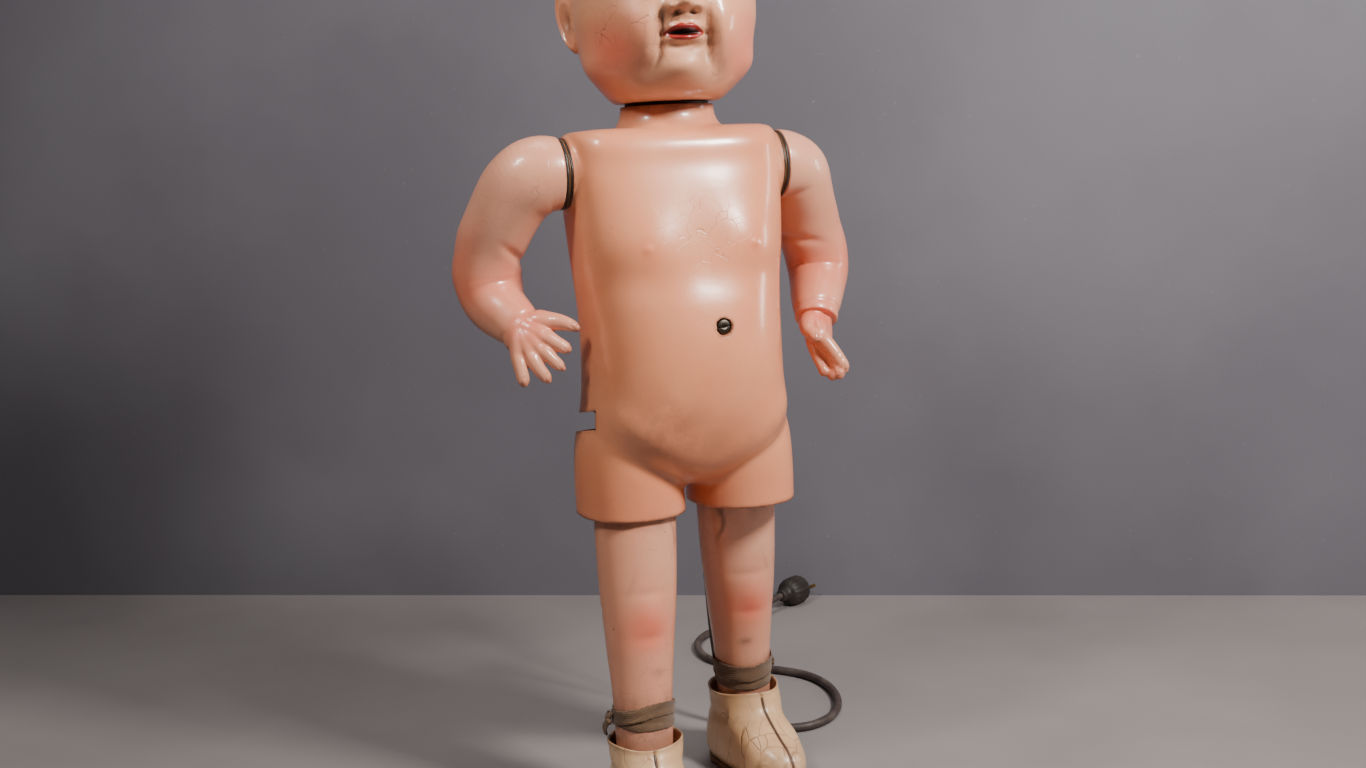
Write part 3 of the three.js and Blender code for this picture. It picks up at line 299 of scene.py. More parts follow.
class Nodes:
    """A short way to wire a material: colour, roughness and bumps from noise and the painted masks."""

    def __init__(self, name, base):
        self.color = base
        self.material = bpy.data.materials.new(name)
        self.material.use_nodes = True
        self.tree = self.material.node_tree
        self.tree.nodes.clear()
        self.shader = self.add("ShaderNodeBsdfPrincipled")
        self.add("ShaderNodeOutputMaterial", Surface=self.shader.outputs[0])
        self.where = self.add("ShaderNodeTexCoord").outputs["Object"]

    def add(self, kind, **values):
        """A node. Names with a capital are its sockets, and the others its settings."""
        n = self.tree.nodes.new(kind)
        for k, v in values.items():
            if k[0].isupper():
                self.link(v, n.inputs[k.replace("_", " ")])
            else:
                setattr(n, k, v)
        return n

    def link(self, value, socket):
        if isinstance(value, bpy.types.NodeSocket):
            self.tree.links.new(value, socket)
        else:
            socket.default_value = value

    def finish(self, **values):
        """Sets the shader, in the colour arrived at, and gives the material."""
        for k, v in {"Base_Color": self.color, **values}.items():
            self.link(v, self.shader.inputs[k.replace("_", " ")])
        return self.material

    def mapped(self, stretch=None, shift=0.0):
        if stretch is None and not shift:
            return self.where
        at = (shift, shift * 0.7, shift * 0.3)
        n = self.add("ShaderNodeMapping", Scale=stretch or (1, 1, 1), Location=at, Vector=self.where)
        return n.outputs["Vector"]

    def noise(self, scale, detail=4, rough=0.55, stretch=None, shift=0.0):
        where = self.mapped(stretch, shift)
        n = self.add("ShaderNodeTexNoise", Scale=scale, Detail=detail, Roughness=rough, Vector=where)
        return n.outputs["Fac"]

    def voronoi(self, scale, feature="DISTANCE_TO_EDGE", stretch=None, shift=0.0, warp=0.0):
        where = self.mapped(stretch, shift)
        if warp:
            w = self.add("ShaderNodeTexNoise", Scale=scale * 0.6, Vector=where)
            v = self.add("ShaderNodeVectorMath", operation="MULTIPLY_ADD")
            for socket, value in zip(v.inputs, (w.outputs["Color"], (warp, warp, warp), where)):
                self.link(value, socket)
            where = v.outputs[0]
        n = self.add("ShaderNodeTexVoronoi", feature=feature, Scale=scale, Vector=where)
        return n.outputs["Distance"]

    def ramp(self, value, low, high, out_low=0.0, out_high=1.0):
        n = self.add("ShaderNodeMapRange", interpolation_type="SMOOTHSTEP", Value=value)
        for key, v in zip(("From Min", "From Max", "To Min", "To Max"), (low, high, out_low, out_high)):
            n.inputs[key].default_value = v
        return n.outputs["Result"]

    def math(self, how, a, b=0.0, clamp=False):
        n = self.add("ShaderNodeMath", operation=how, use_clamp=clamp)
        self.link(a, n.inputs[0])
        self.link(b, n.inputs[1])
        return n.outputs[0]

    def times(self, a, b):
        return self.math("MULTIPLY", a, b)

    def mask(self, name):
        return self.add("ShaderNodeAttribute", attribute_name=name).outputs["Fac"]

    def mix(self, fac, a, b):
        """A blend of two colours, each a socket or display values from 0 to 255."""
        n = self.add("ShaderNodeMix", data_type="RGBA", Factor=fac)
        for value, key in ((a, "A"), (b, "B")):
            self.link(tone(*value) if isinstance(value, tuple) else value, n.inputs[key])
        return next(s for s in n.outputs if s.type == "RGBA")

    def over(self, fac, color):
        """Lays a colour over the one so far."""
        self.color = self.mix(fac, self.color, color)

    def bump(self, height, strength=0.3, distance=0.001, after=None):
        n = self.add("ShaderNodeBump", Strength=strength, Distance=distance, Height=height)
        if after is not None:
            self.link(after, n.inputs["Normal"])
        return n.outputs["Normal"]


def tone(r, g, b):
    """A display colour, 0 to 255, as scene-linear values with a full alpha."""
    return (*(c / 255 / 12.92 if c <= 10 else ((c / 255 + 0.055) / 1.055) ** 2.4 for c in (r, g, b)), 1)


def lacquer(name, base, light, deep, blush, seed=0.0, crackle=0.35, extra=None):
    """Aged glossy paint over composition: mottling, blush, fine cracks, pits, scuffs, and a dark mask
    that is grime in some places and painted shade in others.
    """
    m = Nodes(name, base)
    m.over(m.ramp(m.noise(9, 5, shift=seed), 0.35, 0.68), light)
    m.over(m.ramp(m.noise(26, 5, shift=seed + 2), 0.55, 0.8, 0, 0.35), deep)
    glow = m.times(m.mask("blush"), m.ramp(m.noise(30, 4, shift=seed + 5), 0.2, 0.7, 0.6, 1.0))
    m.over(glow, blush)
    if extra:
        extra(m)
    cracks = m.ramp(m.voronoi(70, shift=seed, warp=0.012), 0.0, 0.02, 1, 0)
    cracks = m.times(cracks, m.ramp(m.noise(6, 3, shift=seed + 9), 0.52, 0.66))
    m.over(m.times(cracks, crackle), (95, 55, 38))
    pits = m.ramp(m.voronoi(95, "F1", shift=seed + 3), 0.05, 0.11, 1, 0)
    pits = m.times(pits, m.ramp(m.noise(38, 2, shift=seed + 4), 0.63, 0.67))
    m.over(m.times(pits, 0.75), (88, 52, 34))
    scuff = m.ramp(m.noise(55, 6, 0.7, stretch=(1, 1, 0.25), shift=seed + 6), 0.66, 0.74)
    scuff = m.times(scuff, m.ramp(m.noise(5, 2, shift=seed + 7), 0.5, 0.62))
    m.over(m.times(scuff, 0.35), (120, 78, 55))
    # The dark mask: grime, and on some pieces painted shade (the neck, under the belly, the face's
    # creases, the ears, the hands).
    dirt_and_shade = m.times(m.mask("grime_and_shade"), m.ramp(m.noise(45, 6, 0.65, shift=seed + 8), 0.3, 0.65, 0.15, 1.0))
    m.over(m.times(dirt_and_shade, 0.8), (62, 42, 32))
    rough = m.ramp(m.noise(14, 5, shift=seed + 11), 0.3, 0.75, 0.26, 0.44)
    rough = m.math("ADD", rough, m.times(dirt_and_shade, 0.3), clamp=True)
    peel = m.bump(m.noise(120, 3, shift=seed), 0.10, 0.0006)
    wave = m.bump(m.noise(22, 2, shift=seed + 1), 0.16, 0.0022, peel)
    sunk = m.times(m.math("ADD", cracks, pits, clamp=True), -1.0)
    return m.finish(
        Roughness=rough,
        Normal=m.bump(sunk, 0.25, 0.0006, wave),
        Coat_Weight=0.45,
        Coat_Roughness=0.14,
        IOR=1.5,
    )


def leather(name, base, light, deep, rough=(0.38, 0.6), scale=1.0, crack=0.5, coat=0.1):
    m = Nodes(name, base)
    m.over(m.ramp(m.noise(18 * scale, 6), 0.3, 0.7), light)
    m.over(m.ramp(m.noise(50 * scale, 5, shift=3), 0.55, 0.8, 0, 0.5), deep)
    grain = m.voronoi(330 * scale, "F1", warp=0.002)
    cracks = m.ramp(m.voronoi(52 * scale, stretch=(1, 1, 0.45), warp=0.02), 0.0, 0.03, 1, 0)
    cracks = m.times(cracks, m.ramp(m.noise(14, 3, shift=5), 0.45, 0.6))
    m.over(m.times(cracks, crack), deep)
    # The dark mask: grime, and painted shade inside the shoes.
    dirt_and_shade = m.times(m.mask("grime_and_shade"), m.ramp(m.noise(60, 6, 0.7, shift=8), 0.3, 0.6, 0.3, 1.0))
    m.over(m.times(dirt_and_shade, 0.9), deep)
    sunk = m.bump(m.times(cracks, -1.0), 0.5, 0.001, m.bump(grain, 0.25, 0.0004))
    return m.finish(
        Roughness=m.ramp(m.noise(25, 5, shift=1), 0.3, 0.7, *rough),
        Normal=m.bump(m.noise(30, 4, shift=2), 0.3, 0.002, sunk),
        Coat_Weight=coat,
        Coat_Roughness=0.25,
    )


def metal(name, base, dull, rough=(0.3, 0.5), rust=0.25):
    m = Nodes(name, base)
    m.over(m.ramp(m.noise(60, 5), 0.35, 0.7), dull)
    spots = m.ramp(m.noise(110, 6, 0.7, shift=4), 0.58, 0.72, 0, rust)
    m.over(spots, (92, 54, 32))
    return m.finish(
        Metallic=m.ramp(spots, 0.0, 0.6, 1.0, 0.45),
        Roughness=m.ramp(m.noise(90, 5, shift=2), 0.3, 0.7, *rough),
        Normal=m.bump(m.noise(240, 4), 0.12, 0.0003),
    )


skin = lacquer(
    "body_lacquer", (228, 140, 98), (236, 153, 111), (202, 114, 74), (228, 112, 82),
    crackle=0.3,
)
limb = lacquer(
    "limb_lacquer", (222, 150, 118), (228, 162, 132), (196, 124, 90), (232, 104, 76),
    seed=13.0,
)


def face_paint(m):
    lip = m.ramp(m.mask("lip"), -0.4, 0.5)
    m.over(lip, m.mix(m.noise(90, 3), (140, 16, 12), (160, 26, 20)))
    for key, low, high, most, rgb in (
        ("mouth", -0.3, 0.4, 1, (48, 10, 8)),
        ("eye", -0.3, 0.3, 1, (226, 214, 196)),
        ("iris", -0.3, 0.3, 1, (74, 46, 26)),
        ("pupil", -0.3, 0.3, 1, (12, 9, 8)),
        ("lash", -0.4, 0.4, 0.9, (52, 30, 20)),
    ):
        m.over(m.ramp(m.mask(key), low, high, 0, most), rgb)
    brow = m.math("ADD", m.mask("brow"), m.times(m.math("SUBTRACT", m.noise(160, 2), 0.5), 2.0))
    m.over(m.ramp(brow, -0.8, 1.2, 0, 0.75), (92, 56, 34))
    edge = m.math("ADD", m.mask("hair"), m.times(m.math("SUBTRACT", m.noise(60, 4), 0.5), 12.0))
    strands = m.ramp(m.noise(70, 4, stretch=(1, 1, 0.3)), 0.35, 0.7)
    locks = m.mix(strands, (70, 42, 26), (98, 62, 38))
    m.over(m.ramp(edge, -5, 6, 0, 0.96), locks)


face = lacquer(
    "head_lacquer", (220, 154, 116), (228, 166, 130), (196, 124, 88), (228, 112, 84),
    seed=29.0, crackle=0.5, extra=face_paint,
)
shoe_leather = leather(
    "shoe_leather", (218, 172, 126), (228, 188, 146), (112, 66, 38), rough=(0.28, 0.5), coat=0.4
)
sole_leather = leather("sole_leather", (112, 74, 42), (136, 92, 54), (56, 34, 20), crack=0.6)
seam_leather = leather("seam_leather", (88, 54, 32), (110, 70, 42), (44, 26, 16), crack=0.3)
black_leather = leather("dark_leather", (34, 27, 23), (48, 38, 32), (14, 11, 9), scale=1.6)
tan_leather = leather("tan_leather", (120, 84, 52), (140, 100, 64), (60, 40, 24), scale=2.0)
steel = metal("aged_steel", (120, 116, 110), (84, 80, 76))
screw_steel = metal("screw_steel", (92, 84, 76), (58, 50, 44), (0.4, 0.6), 0.5)
brass = metal("aged_brass", (178, 142, 76), (128, 98, 52), rust=0.1)
iron = metal("black_iron", (44, 45, 47), (30, 30, 32), (0.45, 0.6), 0.1)


def rubber(name, base, dust, scale=1.0):
    m = Nodes(name, base)
    m.over(m.ramp(m.noise(40 * scale, 6, 0.65), 0.4, 0.75), dust)
    scuffs = m.ramp(m.noise(160 * scale, 5, 0.7, shift=3), 0.6, 0.72, 0, 0.6)
    m.over(scuffs, dust)
    return m.finish(
        Roughness=m.ramp(m.noise(70, 4), 0.3, 0.7, 0.42, 0.66),
        Normal=m.bump(m.noise(300 * scale, 4), 0.2, 0.0004),
    )


cord_rubber = rubber("cord_rubber", (62, 50, 47), (98, 86, 80))
plug_plastic = rubber("plug_moulding", (34, 28, 24), (66, 58, 50), 0.7)


def cloth(name, base, light, deep):
    """Woven strip: fine crossed threads with stains."""
    m = Nodes(name, base)
    weave, across = (
        m.add("ShaderNodeTexWave", bands_direction=way, Scale=scale, Distortion=bend, Vector=m.where)
        for way, scale, bend in (("Z", 330, 1.2), ("DIAGONAL", 360, 1.5))
    )
    threads = m.times(weave.outputs["Fac"], across.outputs["Fac"])
    m.over(m.ramp(m.noise(40, 5), 0.3, 0.7), light)
    m.over(m.ramp(threads, 0.05, 0.5, 0.7, 0.0), deep)
    m.over(m.ramp(m.noise(16, 4, shift=6), 0.5, 0.7, 0, 0.55), deep)
    return m.finish(
        Roughness=0.92,
        Sheen_Weight=0.25,
        Sheen_Roughness=0.5,
        Normal=m.bump(threads, 0.6, 0.0007, m.bump(m.noise(90, 4), 0.4, 0.001)),
    )


strap_cloth = cloth("strap_cloth", (118, 88, 62), (144, 112, 82), (62, 42, 28))


def dress(ob, material, body, slot, *nodes):
    """Gives a new piece its material, the body that it rides on and the nodes that it stands for."""
    ob.data.materials.clear()
    ob.data.materials.append(material)
    for name in ("blush", "grime_and_shade"):
        if not ob.data.attributes.get(name):
            paint(ob, name, 0)
    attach(ob, body)
    if nodes:
        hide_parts(*nodes)
    return ob


# Torso: the belly, the thighs and the neck in one lacquered shell

TORSO = [
    (284, 34, 30, 36, 2), (292, 62, 48, 54, 2.1), (312, 84, 68, 64, 2.3), (336, 90, 80, 65, 2.4),
    (368, 86.5, 87, 60, 2.4), (402, 85.5, 88, 54, 2.4), (439, 86.5, 83, 50, 2.4),
    (465, 88.5, 75, 51, 2.5), (487, 90, 70, 54, 2.7), (522, 92, 63, 55, 3), (553, 92.5, 55, 51, 3.3),
    (579, 92, 46, 45, 3.2), (585, 90, 41, 41, 3), (587, 86, 37, 37, 2.8),
]
NECK = [(572, 44), (581, 46), (586, 47.5), (589, 45.5), (593, 42.8), (598, 40.8), (606, 40), (612, 40)]
THIGH = [(263, 46, 53), (293, 46, 54), (322, 44, 54), (345, 39, 50), (364, 32, 42)]


def torso_loft(name, levels, inset, count):
    return loft(name, [inset_ring(TORSO, z, inset, count) for z in levels])


def thigh_loft(name, x, low, levels, inset, count):
    rings = []
    for z in (low, *levels):
        half, depth = between(THIGH, z)
        rings.append(body_ring(z, half - inset, depth - inset, depth - inset, 2.15, count, x))
    return loft(name, rings)


def cavity():
    """The hollow that the mechanism stands in."""
    parts = [torso_loft("c1", np.linspace(292, 578, 40), 4.5, 80)]
    for x in (-THIGH_X, THIGH_X):
        parts.append(thigh_loft("c2", x, HEM - 18, np.linspace(HEM, 362, 14), 3.5, 60))
    return remeshed(joined("cavity", parts), 3, 3)


def groin(x):
    """Height of the fold between belly and thigh."""
    return 287 + 50 * np.clip((np.abs(x) - 6) / 78, 0, 1) ** 1.3


def round_ring(z, r, count):
    """A ring of the neck, a little flatter from front to back."""
    return body_ring(z, r, r * 0.86, r * 0.86, 2, count)


def torso():
    parts = [
        torso_loft("t1", [284, 286, 288, *np.linspace(292, 579, 70), 582, 585, 586.4, 587], 0, 140),
        *(bar((s * 70, 0, SHOULDER), (s * 98, 0, SHOULDER), BOSS_R, 72) for s in (-1, 1)),
        *(thigh_loft("t2", s * THIGH_X, HEM - 11, np.linspace(HEM, 364, 20), 0, 90) for s in (-1, 1)),
        loft("t4", [round_ring(z, r, 80) for z, r in NECK]),
    ]
    ob = remeshed(joined("torso_shell_skin", parts), 2.2, 7)
    p, n = points(ob), per_vertex(ob, "normal")
    x, y, z = p.T
    front = ease(-5, -30, y)
    move = np.zeros(len(p))
    for side in (-1, 1):
        # soft breasts with small nipples
        move += 4.6 * front * bell((x - side * 46) / 30, (z - 492) / 24)
        move -= 0.6 * front * bell((x - side * 48) / 26, (z - 462) / 14)
        move += 1.2 * front * bell((x - side * 46) / 3, (z - 489) / 3)
        # shoulder blades
        move += 1.4 * ease(5, 30, y) * bell((x - side * 44) / 24, (z - 540) / 26)
    # the belly hangs over the thighs, with a soft fold between them
    under = (z - groin(x)) / 9
    move += front * 1.4 * bell((under - 2.6) / 1.6) * ease(92, 70, np.abs(x))
    move -= front * 1.7 * bell(under / 1.2) * ease(92, 76, np.abs(x))
    move += 3.0 * front * bell((z - 574) / 12) * ease(90, 70, np.abs(x))
    move -= 1.0 * front * bell(x / 16, (z - 490) / 30)
    # spine and seat
    move -= 1.6 * bell(x / 5) * ease(10, 35, y) * ease(560, 520, z) * ease(320, 350, z)
    move -= 4.5 * bell(x / 4.5) * ease(20, 45, y) * ease(338, 316, z)
    move += 0.35 * np.sin(x / 17 + 1) * np.sin(z / 23) * np.sin(y / 19 + 2)
    set_points(ob, p + n * move[:, None])
    trims = [
        block(-120, 120, -100, 100, HEM - 50, HEM),
        block(-120, -SIDE_FLAT, -60, 60, *ROOM),
        block(SIDE_FLAT, 120, -60, 60, *ROOM),
        block(-80, 80, -80, 80, NECK_TOP, NECK_TOP + 24),
    ]
    boolean(ob, joined("trims", trims))
    return boolean(ob, cavity())


NOTCH_FALL = 0.16
NOTCH_FRONT = -27


def notch_cutter():
    """The hip's notch: a sawn cut that falls toward the back, with a round inner corner."""
    high, inner, r = HIP - 3.5, -62, 6.0
    low = high - 16
    bend = np.linspace(0, pi / 2, 9)
    arc = [(inner - r + r * cos(a), high - r + r * sin(a)) for a in bend]
    outline = [(-120, low), (inner - 1.5, low), (inner, low + 1.5), *arc, (-120, high)]
    falls = ((y, (y - NOTCH_FRONT) * NOTCH_FALL) for y in (NOTCH_FRONT, 90))
    return loft("notch", [[(x, y, z - fall) for x, z in outline] for y, fall in falls])


def reach(column, x, z):
    row = between(TORSO, z)
    return row[column] * (1 - (abs(x) / row[0]) ** row[3]) ** (1 / row[3])


BELLY_X = 10
BUSH_R = 8.3
NECK_HOLE_R = 9.3
PANEL_HALF = 56
PANEL_LOW = HIP + 24
PANEL_HIGH = SHOULDER - 6
EXIT = 308
EXIT_X = 56
belly_face = -reach(1, BELLY_X, NAVEL)
screw_spots = [(sx * 48, z) for z in (HIP + 32, SHOULDER - 14) for sx in (-1, 1)]

shell = torso()


def chipped_hole():
    """The belly screw's hole, with an uneven, chipped mouth."""
    a = turns(48)
    ragged = 0.35 * np.sin(3 * a + 1) + 0.3 * np.sin(7 * a + 2) + 0.22 * np.sin(13 * a)
    rows = [(-14, 8.6 + ragged), (0.4, 7.6 + ragged), (1.6, 7.0 + 0.5 * ragged), (3, 6.8), (25, 6.8)]
    return lathe("belly_hole", (BELLY_X, belly_face, NAVEL), BACKWARD, rows, a)


cuts = [
    chipped_hole(),
    bar((0, 0, 550), (0, 0, 620), NECK_HOLE_R, 40),
    *(bar((side * 110, 0, SHOULDER), (side * 65, 0, SHOULDER), BUSH_R) for side in (-1, 1)),
    bar((EXIT_X, 30, EXIT), (EXIT_X, 110, EXIT), BUSH_R),
    notch_cutter(),
]
boolean(shell, joined("cuts", cuts))
panel_box, inner_box = (
    block(g - PANEL_HALF, PANEL_HALF - g, 10, 200, PANEL_LOW + g, PANEL_HIGH - g) for g in (0, 0.5)
)
panel = shown(shell.copy())
panel.data = shell.data.copy()
panel.name = "back_panel_skin"
boolean(shell, panel_box)
boolean(panel, inner_box, "INTERSECT")
holes = []
for sx, sz in screw_spots:
    back = reach(2, sx, sz)
    rows = [(0, 2.1), (back - 2.3, 2.1), (back - 2.3, 4.3), (110, 4.3)]
    holes.append(lathe("screw_hole", (sx, 0, sz), BACKWARD, rows, turns(24)))
boolean(panel, joined("screw_holes", holes))


def torso_wear_and_shade(ob):
    """Grime at the hems and the holes, darker along the fold at the left groin and just under the
    washer, a painted shadow of the head on the neck, painted shade under the belly, and blush.
    """
    p = points(ob)
    x, y, z = p.T
    grime_and_shade = 0.8 * ease(HEM + 3.5, HEM + 0.3, z)
    grime_and_shade += 0.3 * bell((z - groin(x)) / 2.0) * ease(0, -30, y) * ease(20, 66, x)
    # Darker just under the washer, and a painted shadow of the head over the upper neck.
    grime_and_shade += 0.5 * ease(NECK_TOP - 6, NECK_TOP - 1, z) + 0.34 * ease(578, 592, z)
    # Painted shade on the lower left of the belly and under the belly.
    low = ease(0, -30, y) * ease(HEM + 40, HEM + 62, z)
    grime_and_shade += 0.42 * bell((x + 42) / 36, (z - 344) / 26) * low
    grime_and_shade += 0.26 * bell((x - 10) / 50, (z - 318) / 20) * low
    hole = np.hypot(x - BELLY_X, z - NAVEL)
    grime_and_shade += 1.3 * ease(10.0, 7.2, hole) * (y < 0)
    sunk = z + (y - NOTCH_FRONT) * NOTCH_FALL
    notch = np.maximum(np.abs(sunk - (HIP - 11.5)) - 8, 0) + np.maximum(NOTCH_FRONT - y, 0)
    grime_and_shade += 0.7 * ease(3, 0, notch) * (x < -58)
    boss = np.abs(np.hypot(y, z - SHOULDER) - BOSS_R)
    grime_and_shade += 0.5 * ease(3, 0, boss) * (np.abs(x) > 88)
    edge = np.minimum(np.abs(z - PANEL_LOW), np.abs(z - PANEL_HIGH))
    edge = np.minimum(np.abs(np.abs(x) - PANEL_HALF), edge)
    inside = (np.abs(x) < PANEL_HALF + 2) & (z > PANEL_LOW - 2) & (z < PANEL_HIGH + 2) & (y > 10)
    grime_and_shade += 0.6 * ease(2.5, 0, edge) * inside
    blush = np.zeros(len(p))
    for side in (-1, 1):
        blush += 0.35 * bell((x - side * 46) / 9, (z - 489) / 9) * (y < 0)
    blush += 0.3 * bell((x - 4) / 7, (z - 572) / 5) * (y < 0)
    blush += 0.2 * ease(320, 270, z)
    wear_and_shade(ob, grime_and_shade, blush)


for ob, node in ((shell, "torso_shell"), (panel, "back_panel")):
    torso_wear_and_shade(ob)
    dress(ob, skin, "torso", "body_lacquer", node)

# Head

HEAD = [
    (0, 43, 47, 41, 2.2), (3, 47, 56, 46, 2.2), (12, 54, 68, 54, 2.2), (26, 63, 75, 64, 2.2),
    (42, 70.5, 80, 71, 2.2), (56, 75, 83, 77, 2.2), (68, 77, 85, 81, 2.2), (92, 77, 86, 86, 2.15),
    (120, 75.5, 88, 88, 2.1), (148, 69, 82, 84, 2.1), (172, 56, 66, 70, 2.05), (188, 39, 46, 50, 2),
    (197, 20, 24, 27, 2), (200, 6, 8, 9, 2),
]
# Swellings and hollows of the face, alike on both sides: across, height over the jaw, half-widths, depth
RELIEF = [
    (0, 23.5, 17, 8.5, 6.0), (0, 40, 17, 3.6, -2.8), (30, 22, 9, 12, -2.0), (0, 57, 12, 9, 2.8),
    (0, 45.8, 10.5, 2.8, 4.6), (5.5, 54.6, 7, 2.6, 3.8), (0, 50.2, 12, 1.6, -4.4),
    (17.5, 49, 2.4, 2.6, -2.2), (0, 61, 1.8, 3.2, -1.3), (0, 82, 6.4, 13, 8.0), (0, 72, 9.5, 6.4, 12.5),
    (12.5, 69.5, 5.2, 4.8, 8.0), (6, 65.4, 3.0, 1.8, -5.5), (40, 58, 17, 20, 3.0), (27, 95, 14, 8, -4),
    (27, 96, 9.5, 5.2, 3.0), (27, 110, 16, 5, 2.5),
]


OFF = -9
EYE_X = 27
EYE_Z = 95.5


def fold(x, r):
    """How far a point lies outside the crease that runs from the nose's wing past the mouth."""
    out = np.clip((64 - r) / 30, 0, 1.4)
    return np.abs(x - 0.8) - 17.6 - 2.4 * out - 4.5 * ease(34, 14, r)


def face_depth(x, r):
    d = np.zeros_like(x)
    for across, height, wide, tall, depth in RELIEF:
        for side in (-1, 1) if across else (1,):
            d += depth * bell((x - side * across) / wide, (r - height) / tall)
    out = fold(x, r)
    length = ease(76, 66, r) * ease(16, 40, r)
    d += 6.0 * ease(0, 13, out) * ease(66, 30, np.abs(x)) * bell((r - 48) / 23)
    d -= 3.4 * bell(out / 2.3) * length
    for side in (-1, 1):
        lid = 100.5 - ((x - side * EYE_X) / 11) ** 2 * 4.5
        d -= 1.1 * bell((r - lid) / 1.1) * (np.abs(x - side * EYE_X) < 13)
    return d


def head():
    even = turns(320)
    angles = even + 0.62 * np.cos(even)
    jaw, crown = [0, 0.8, 2, 4, 7, 10.5], [191, 194, 196.5, 198.4, 199.5, 200]
    evenly = (np.linspace(*row) for row in ((14, 40, 18), (41, 126, 92), (128.5, 188, 28)))
    levels = np.concatenate([jaw, *evenly, crown])
    rings = []
    for r in levels:
        half, front, back, square = between(HEAD, r)
        ring = body_ring(0, half, front, back, square, 0, angles=angles)
        x, y = ring[:, 0], ring[:, 1]
        faced = y < 0
        ring[:, 1] = np.where(faced, y - face_depth(x, np.full_like(x, r)) * ease(0, -30, y), y)
        # jowls at the sides of the jaw
        way = np.abs(np.degrees(np.arctan2(y, np.abs(x))) + 22)
        jowl = 8 * bell(way / 30) * bell((r - 25) / 17)
        ring[:, :2] *= 1 + (jowl / np.maximum(np.hypot(x, y), 20))[:, None]
        ring[:, 2] = r
        rings.append(ring)
    ob = loft("head_skin", np.array(rings) + [0, 0, HEAD_BASE])
    x, y, r = np.vstack([*rings, (0, 0, 0), (0, 0, 200)]).T
    on = y < 0
    upper = 48.9 + 8.8 * np.clip(1 - (np.abs(x) / 18) ** 1.7, -0.2, 1) - 1.8 * bell(x / 2.4)
    lower = 49.4 - 5.2 * np.clip(1 - (np.abs(x) / 17) ** 2.2, -0.2, 1)
    gap = 2.6 * np.clip(1 - (x / 14.5) ** 2, 0, 1) - np.abs(r - 50.1)
    marks = {
        "lip": np.where(np.abs(x) < 18, np.minimum(upper - r, r - lower) + 0.3, OFF),
        "mouth": np.where(np.abs(x) < 14.5, gap, OFF),
    }
    for side in (-1, 1):
        u, v = x - side * EYE_X, r - EYE_Z
        top = 5.2 * (1 - (np.abs(u) / 12.5) ** 2.0)
        low = -4.2 * (1 - (np.abs(u) / 12.5) ** 2.2)
        lids = np.minimum(top - v, v - low)
        middle = np.hypot(u, v + 0.2)
        arch = 111 + 3.5 * (1 - (u / 16) ** 2)
        hairs = 1.7 - np.abs(r - arch) - 0.6 * (u / 16) ** 2
        for key, mark in (
            ("eye", lids),
            ("iris", np.minimum(5.4 - middle, lids)),
            ("pupil", np.minimum(2.4 - middle, top - v)),
            ("lash", np.where(np.abs(u) < 14, 1.0 - np.abs(v - top), OFF)),
            ("brow", np.where(np.abs(u) < 16, hairs, OFF)),
        ):
            marks[key] = np.maximum(marks.get(key, OFF), mark)
    for key, mark in marks.items():
        paint(ob, key, np.where(on, mark, OFF))
    forward = np.clip(-y / 86, -1, 1)
    line = 92 + 56 * ease(-0.15, 0.85, forward) - 26 * ease(0.0, -0.8, forward)
    line = line + 6 * np.cos(x / 9) * ease(0.4, 0.9, forward)
    line = np.where(np.abs(y - 12) < 26, np.maximum(line, 112), line)
    paint(ob, "hair", r - line)
    blush = np.zeros_like(x)
    for side in (-1, 1):
        blush += 0.9 * bell((x - side * 54) / 22, (r - 40) / 30) * on
    blush += 0.3 * bell(x / 18, (r - 8) / 8) * on
    length = ease(76, 66, r) * ease(14, 38, r)
    # The face's dark mask: darker at the bottom edge and in the nostrils, painted shade with some grime
    # along the creases from the nose past the mouth and in the hollows under the cheeks.
    grime_and_shade = 0.6 * ease(4, 0, r) + 0.8 * bell((fold(x, r) + 0.4) / 1.7) * length * on
    grime_and_shade += 0.3 * bell((fold(x, r) - 1) / 5) * length * on
    grime_and_shade += 0.35 * bell((np.abs(x) - 31) / 8, (r - 28) / 15) * on
    grime_and_shade += 0.9 * bell((np.abs(x) - 6) / 2.8, (r - 66.0) / 1.9) * on
    wear_and_shade(ob, grime_and_shade, blush)
    return ob


def ear(side):
    """A moulded ear: an oval plate with a rolled rim, an inner ridge and a hollow."""
    rows, cols = 44, 64
    q, t = np.meshgrid(np.arange(rows + 1) / rows, turns(cols), indexing="ij")
    u, v = q * (13.5 + 2.5 * np.sin(t)) * np.cos(t), q * 29 * np.sin(t)
    rise = 4.6 * (1 - q**6) + 3 * bell((q - 0.86) / 0.11) * (1 - 0.6 * bell((t - 4.6) / 0.7))
    rise += 1.8 * bell((q - 0.5) / 0.12) * np.maximum(0, np.sin(t - 0.6)) * (q > 0.2)
    rise -= 3.4 * bell((u + 1.5) / 5.5, (v + 3) / 9)
    rise += 2.2 * bell((u - 8.5) / 3, (v + 3) / 5)
    out = np.vstack([np.stack([side * rise, -u, v], -1).reshape(-1, 3), (side * -7, 0, 0)])
    rim = rows * cols
    faces = grid(rows + 1, cols) + [(rim + cols, rim + j, rim + (j + 1) % cols) for j in range(cols)]
    turn = Matrix.Rotation(side * radians(-30), 3, "Z") @ Matrix.Rotation(radians(-12), 3, "X")
    out = out @ np.array(turn).T + [side * 75.5, 12, HEAD_BASE + 71.5]
    ob = mesh_object(f"ear_{'right' if side < 0 else 'left'}", place(out), faces)
    _, y, z = points(ob).T
    blush = 0.25 + 0.2 * np.clip((HEAD_BASE + 60 - z) / 20, 0, 1)
    # Painted shade in the middle of the ear, round its hollow, and more blush toward the lobe.
    wear_and_shade(ob, 0.8 * bell((z - HEAD_BASE - 68) / 12, (y - 11) / 6), blush)
    for key in ("lip", "mouth", "eye", "iris", "pupil", "lash", "brow", "hair"):
        paint(ob, key, -30)
    return ob


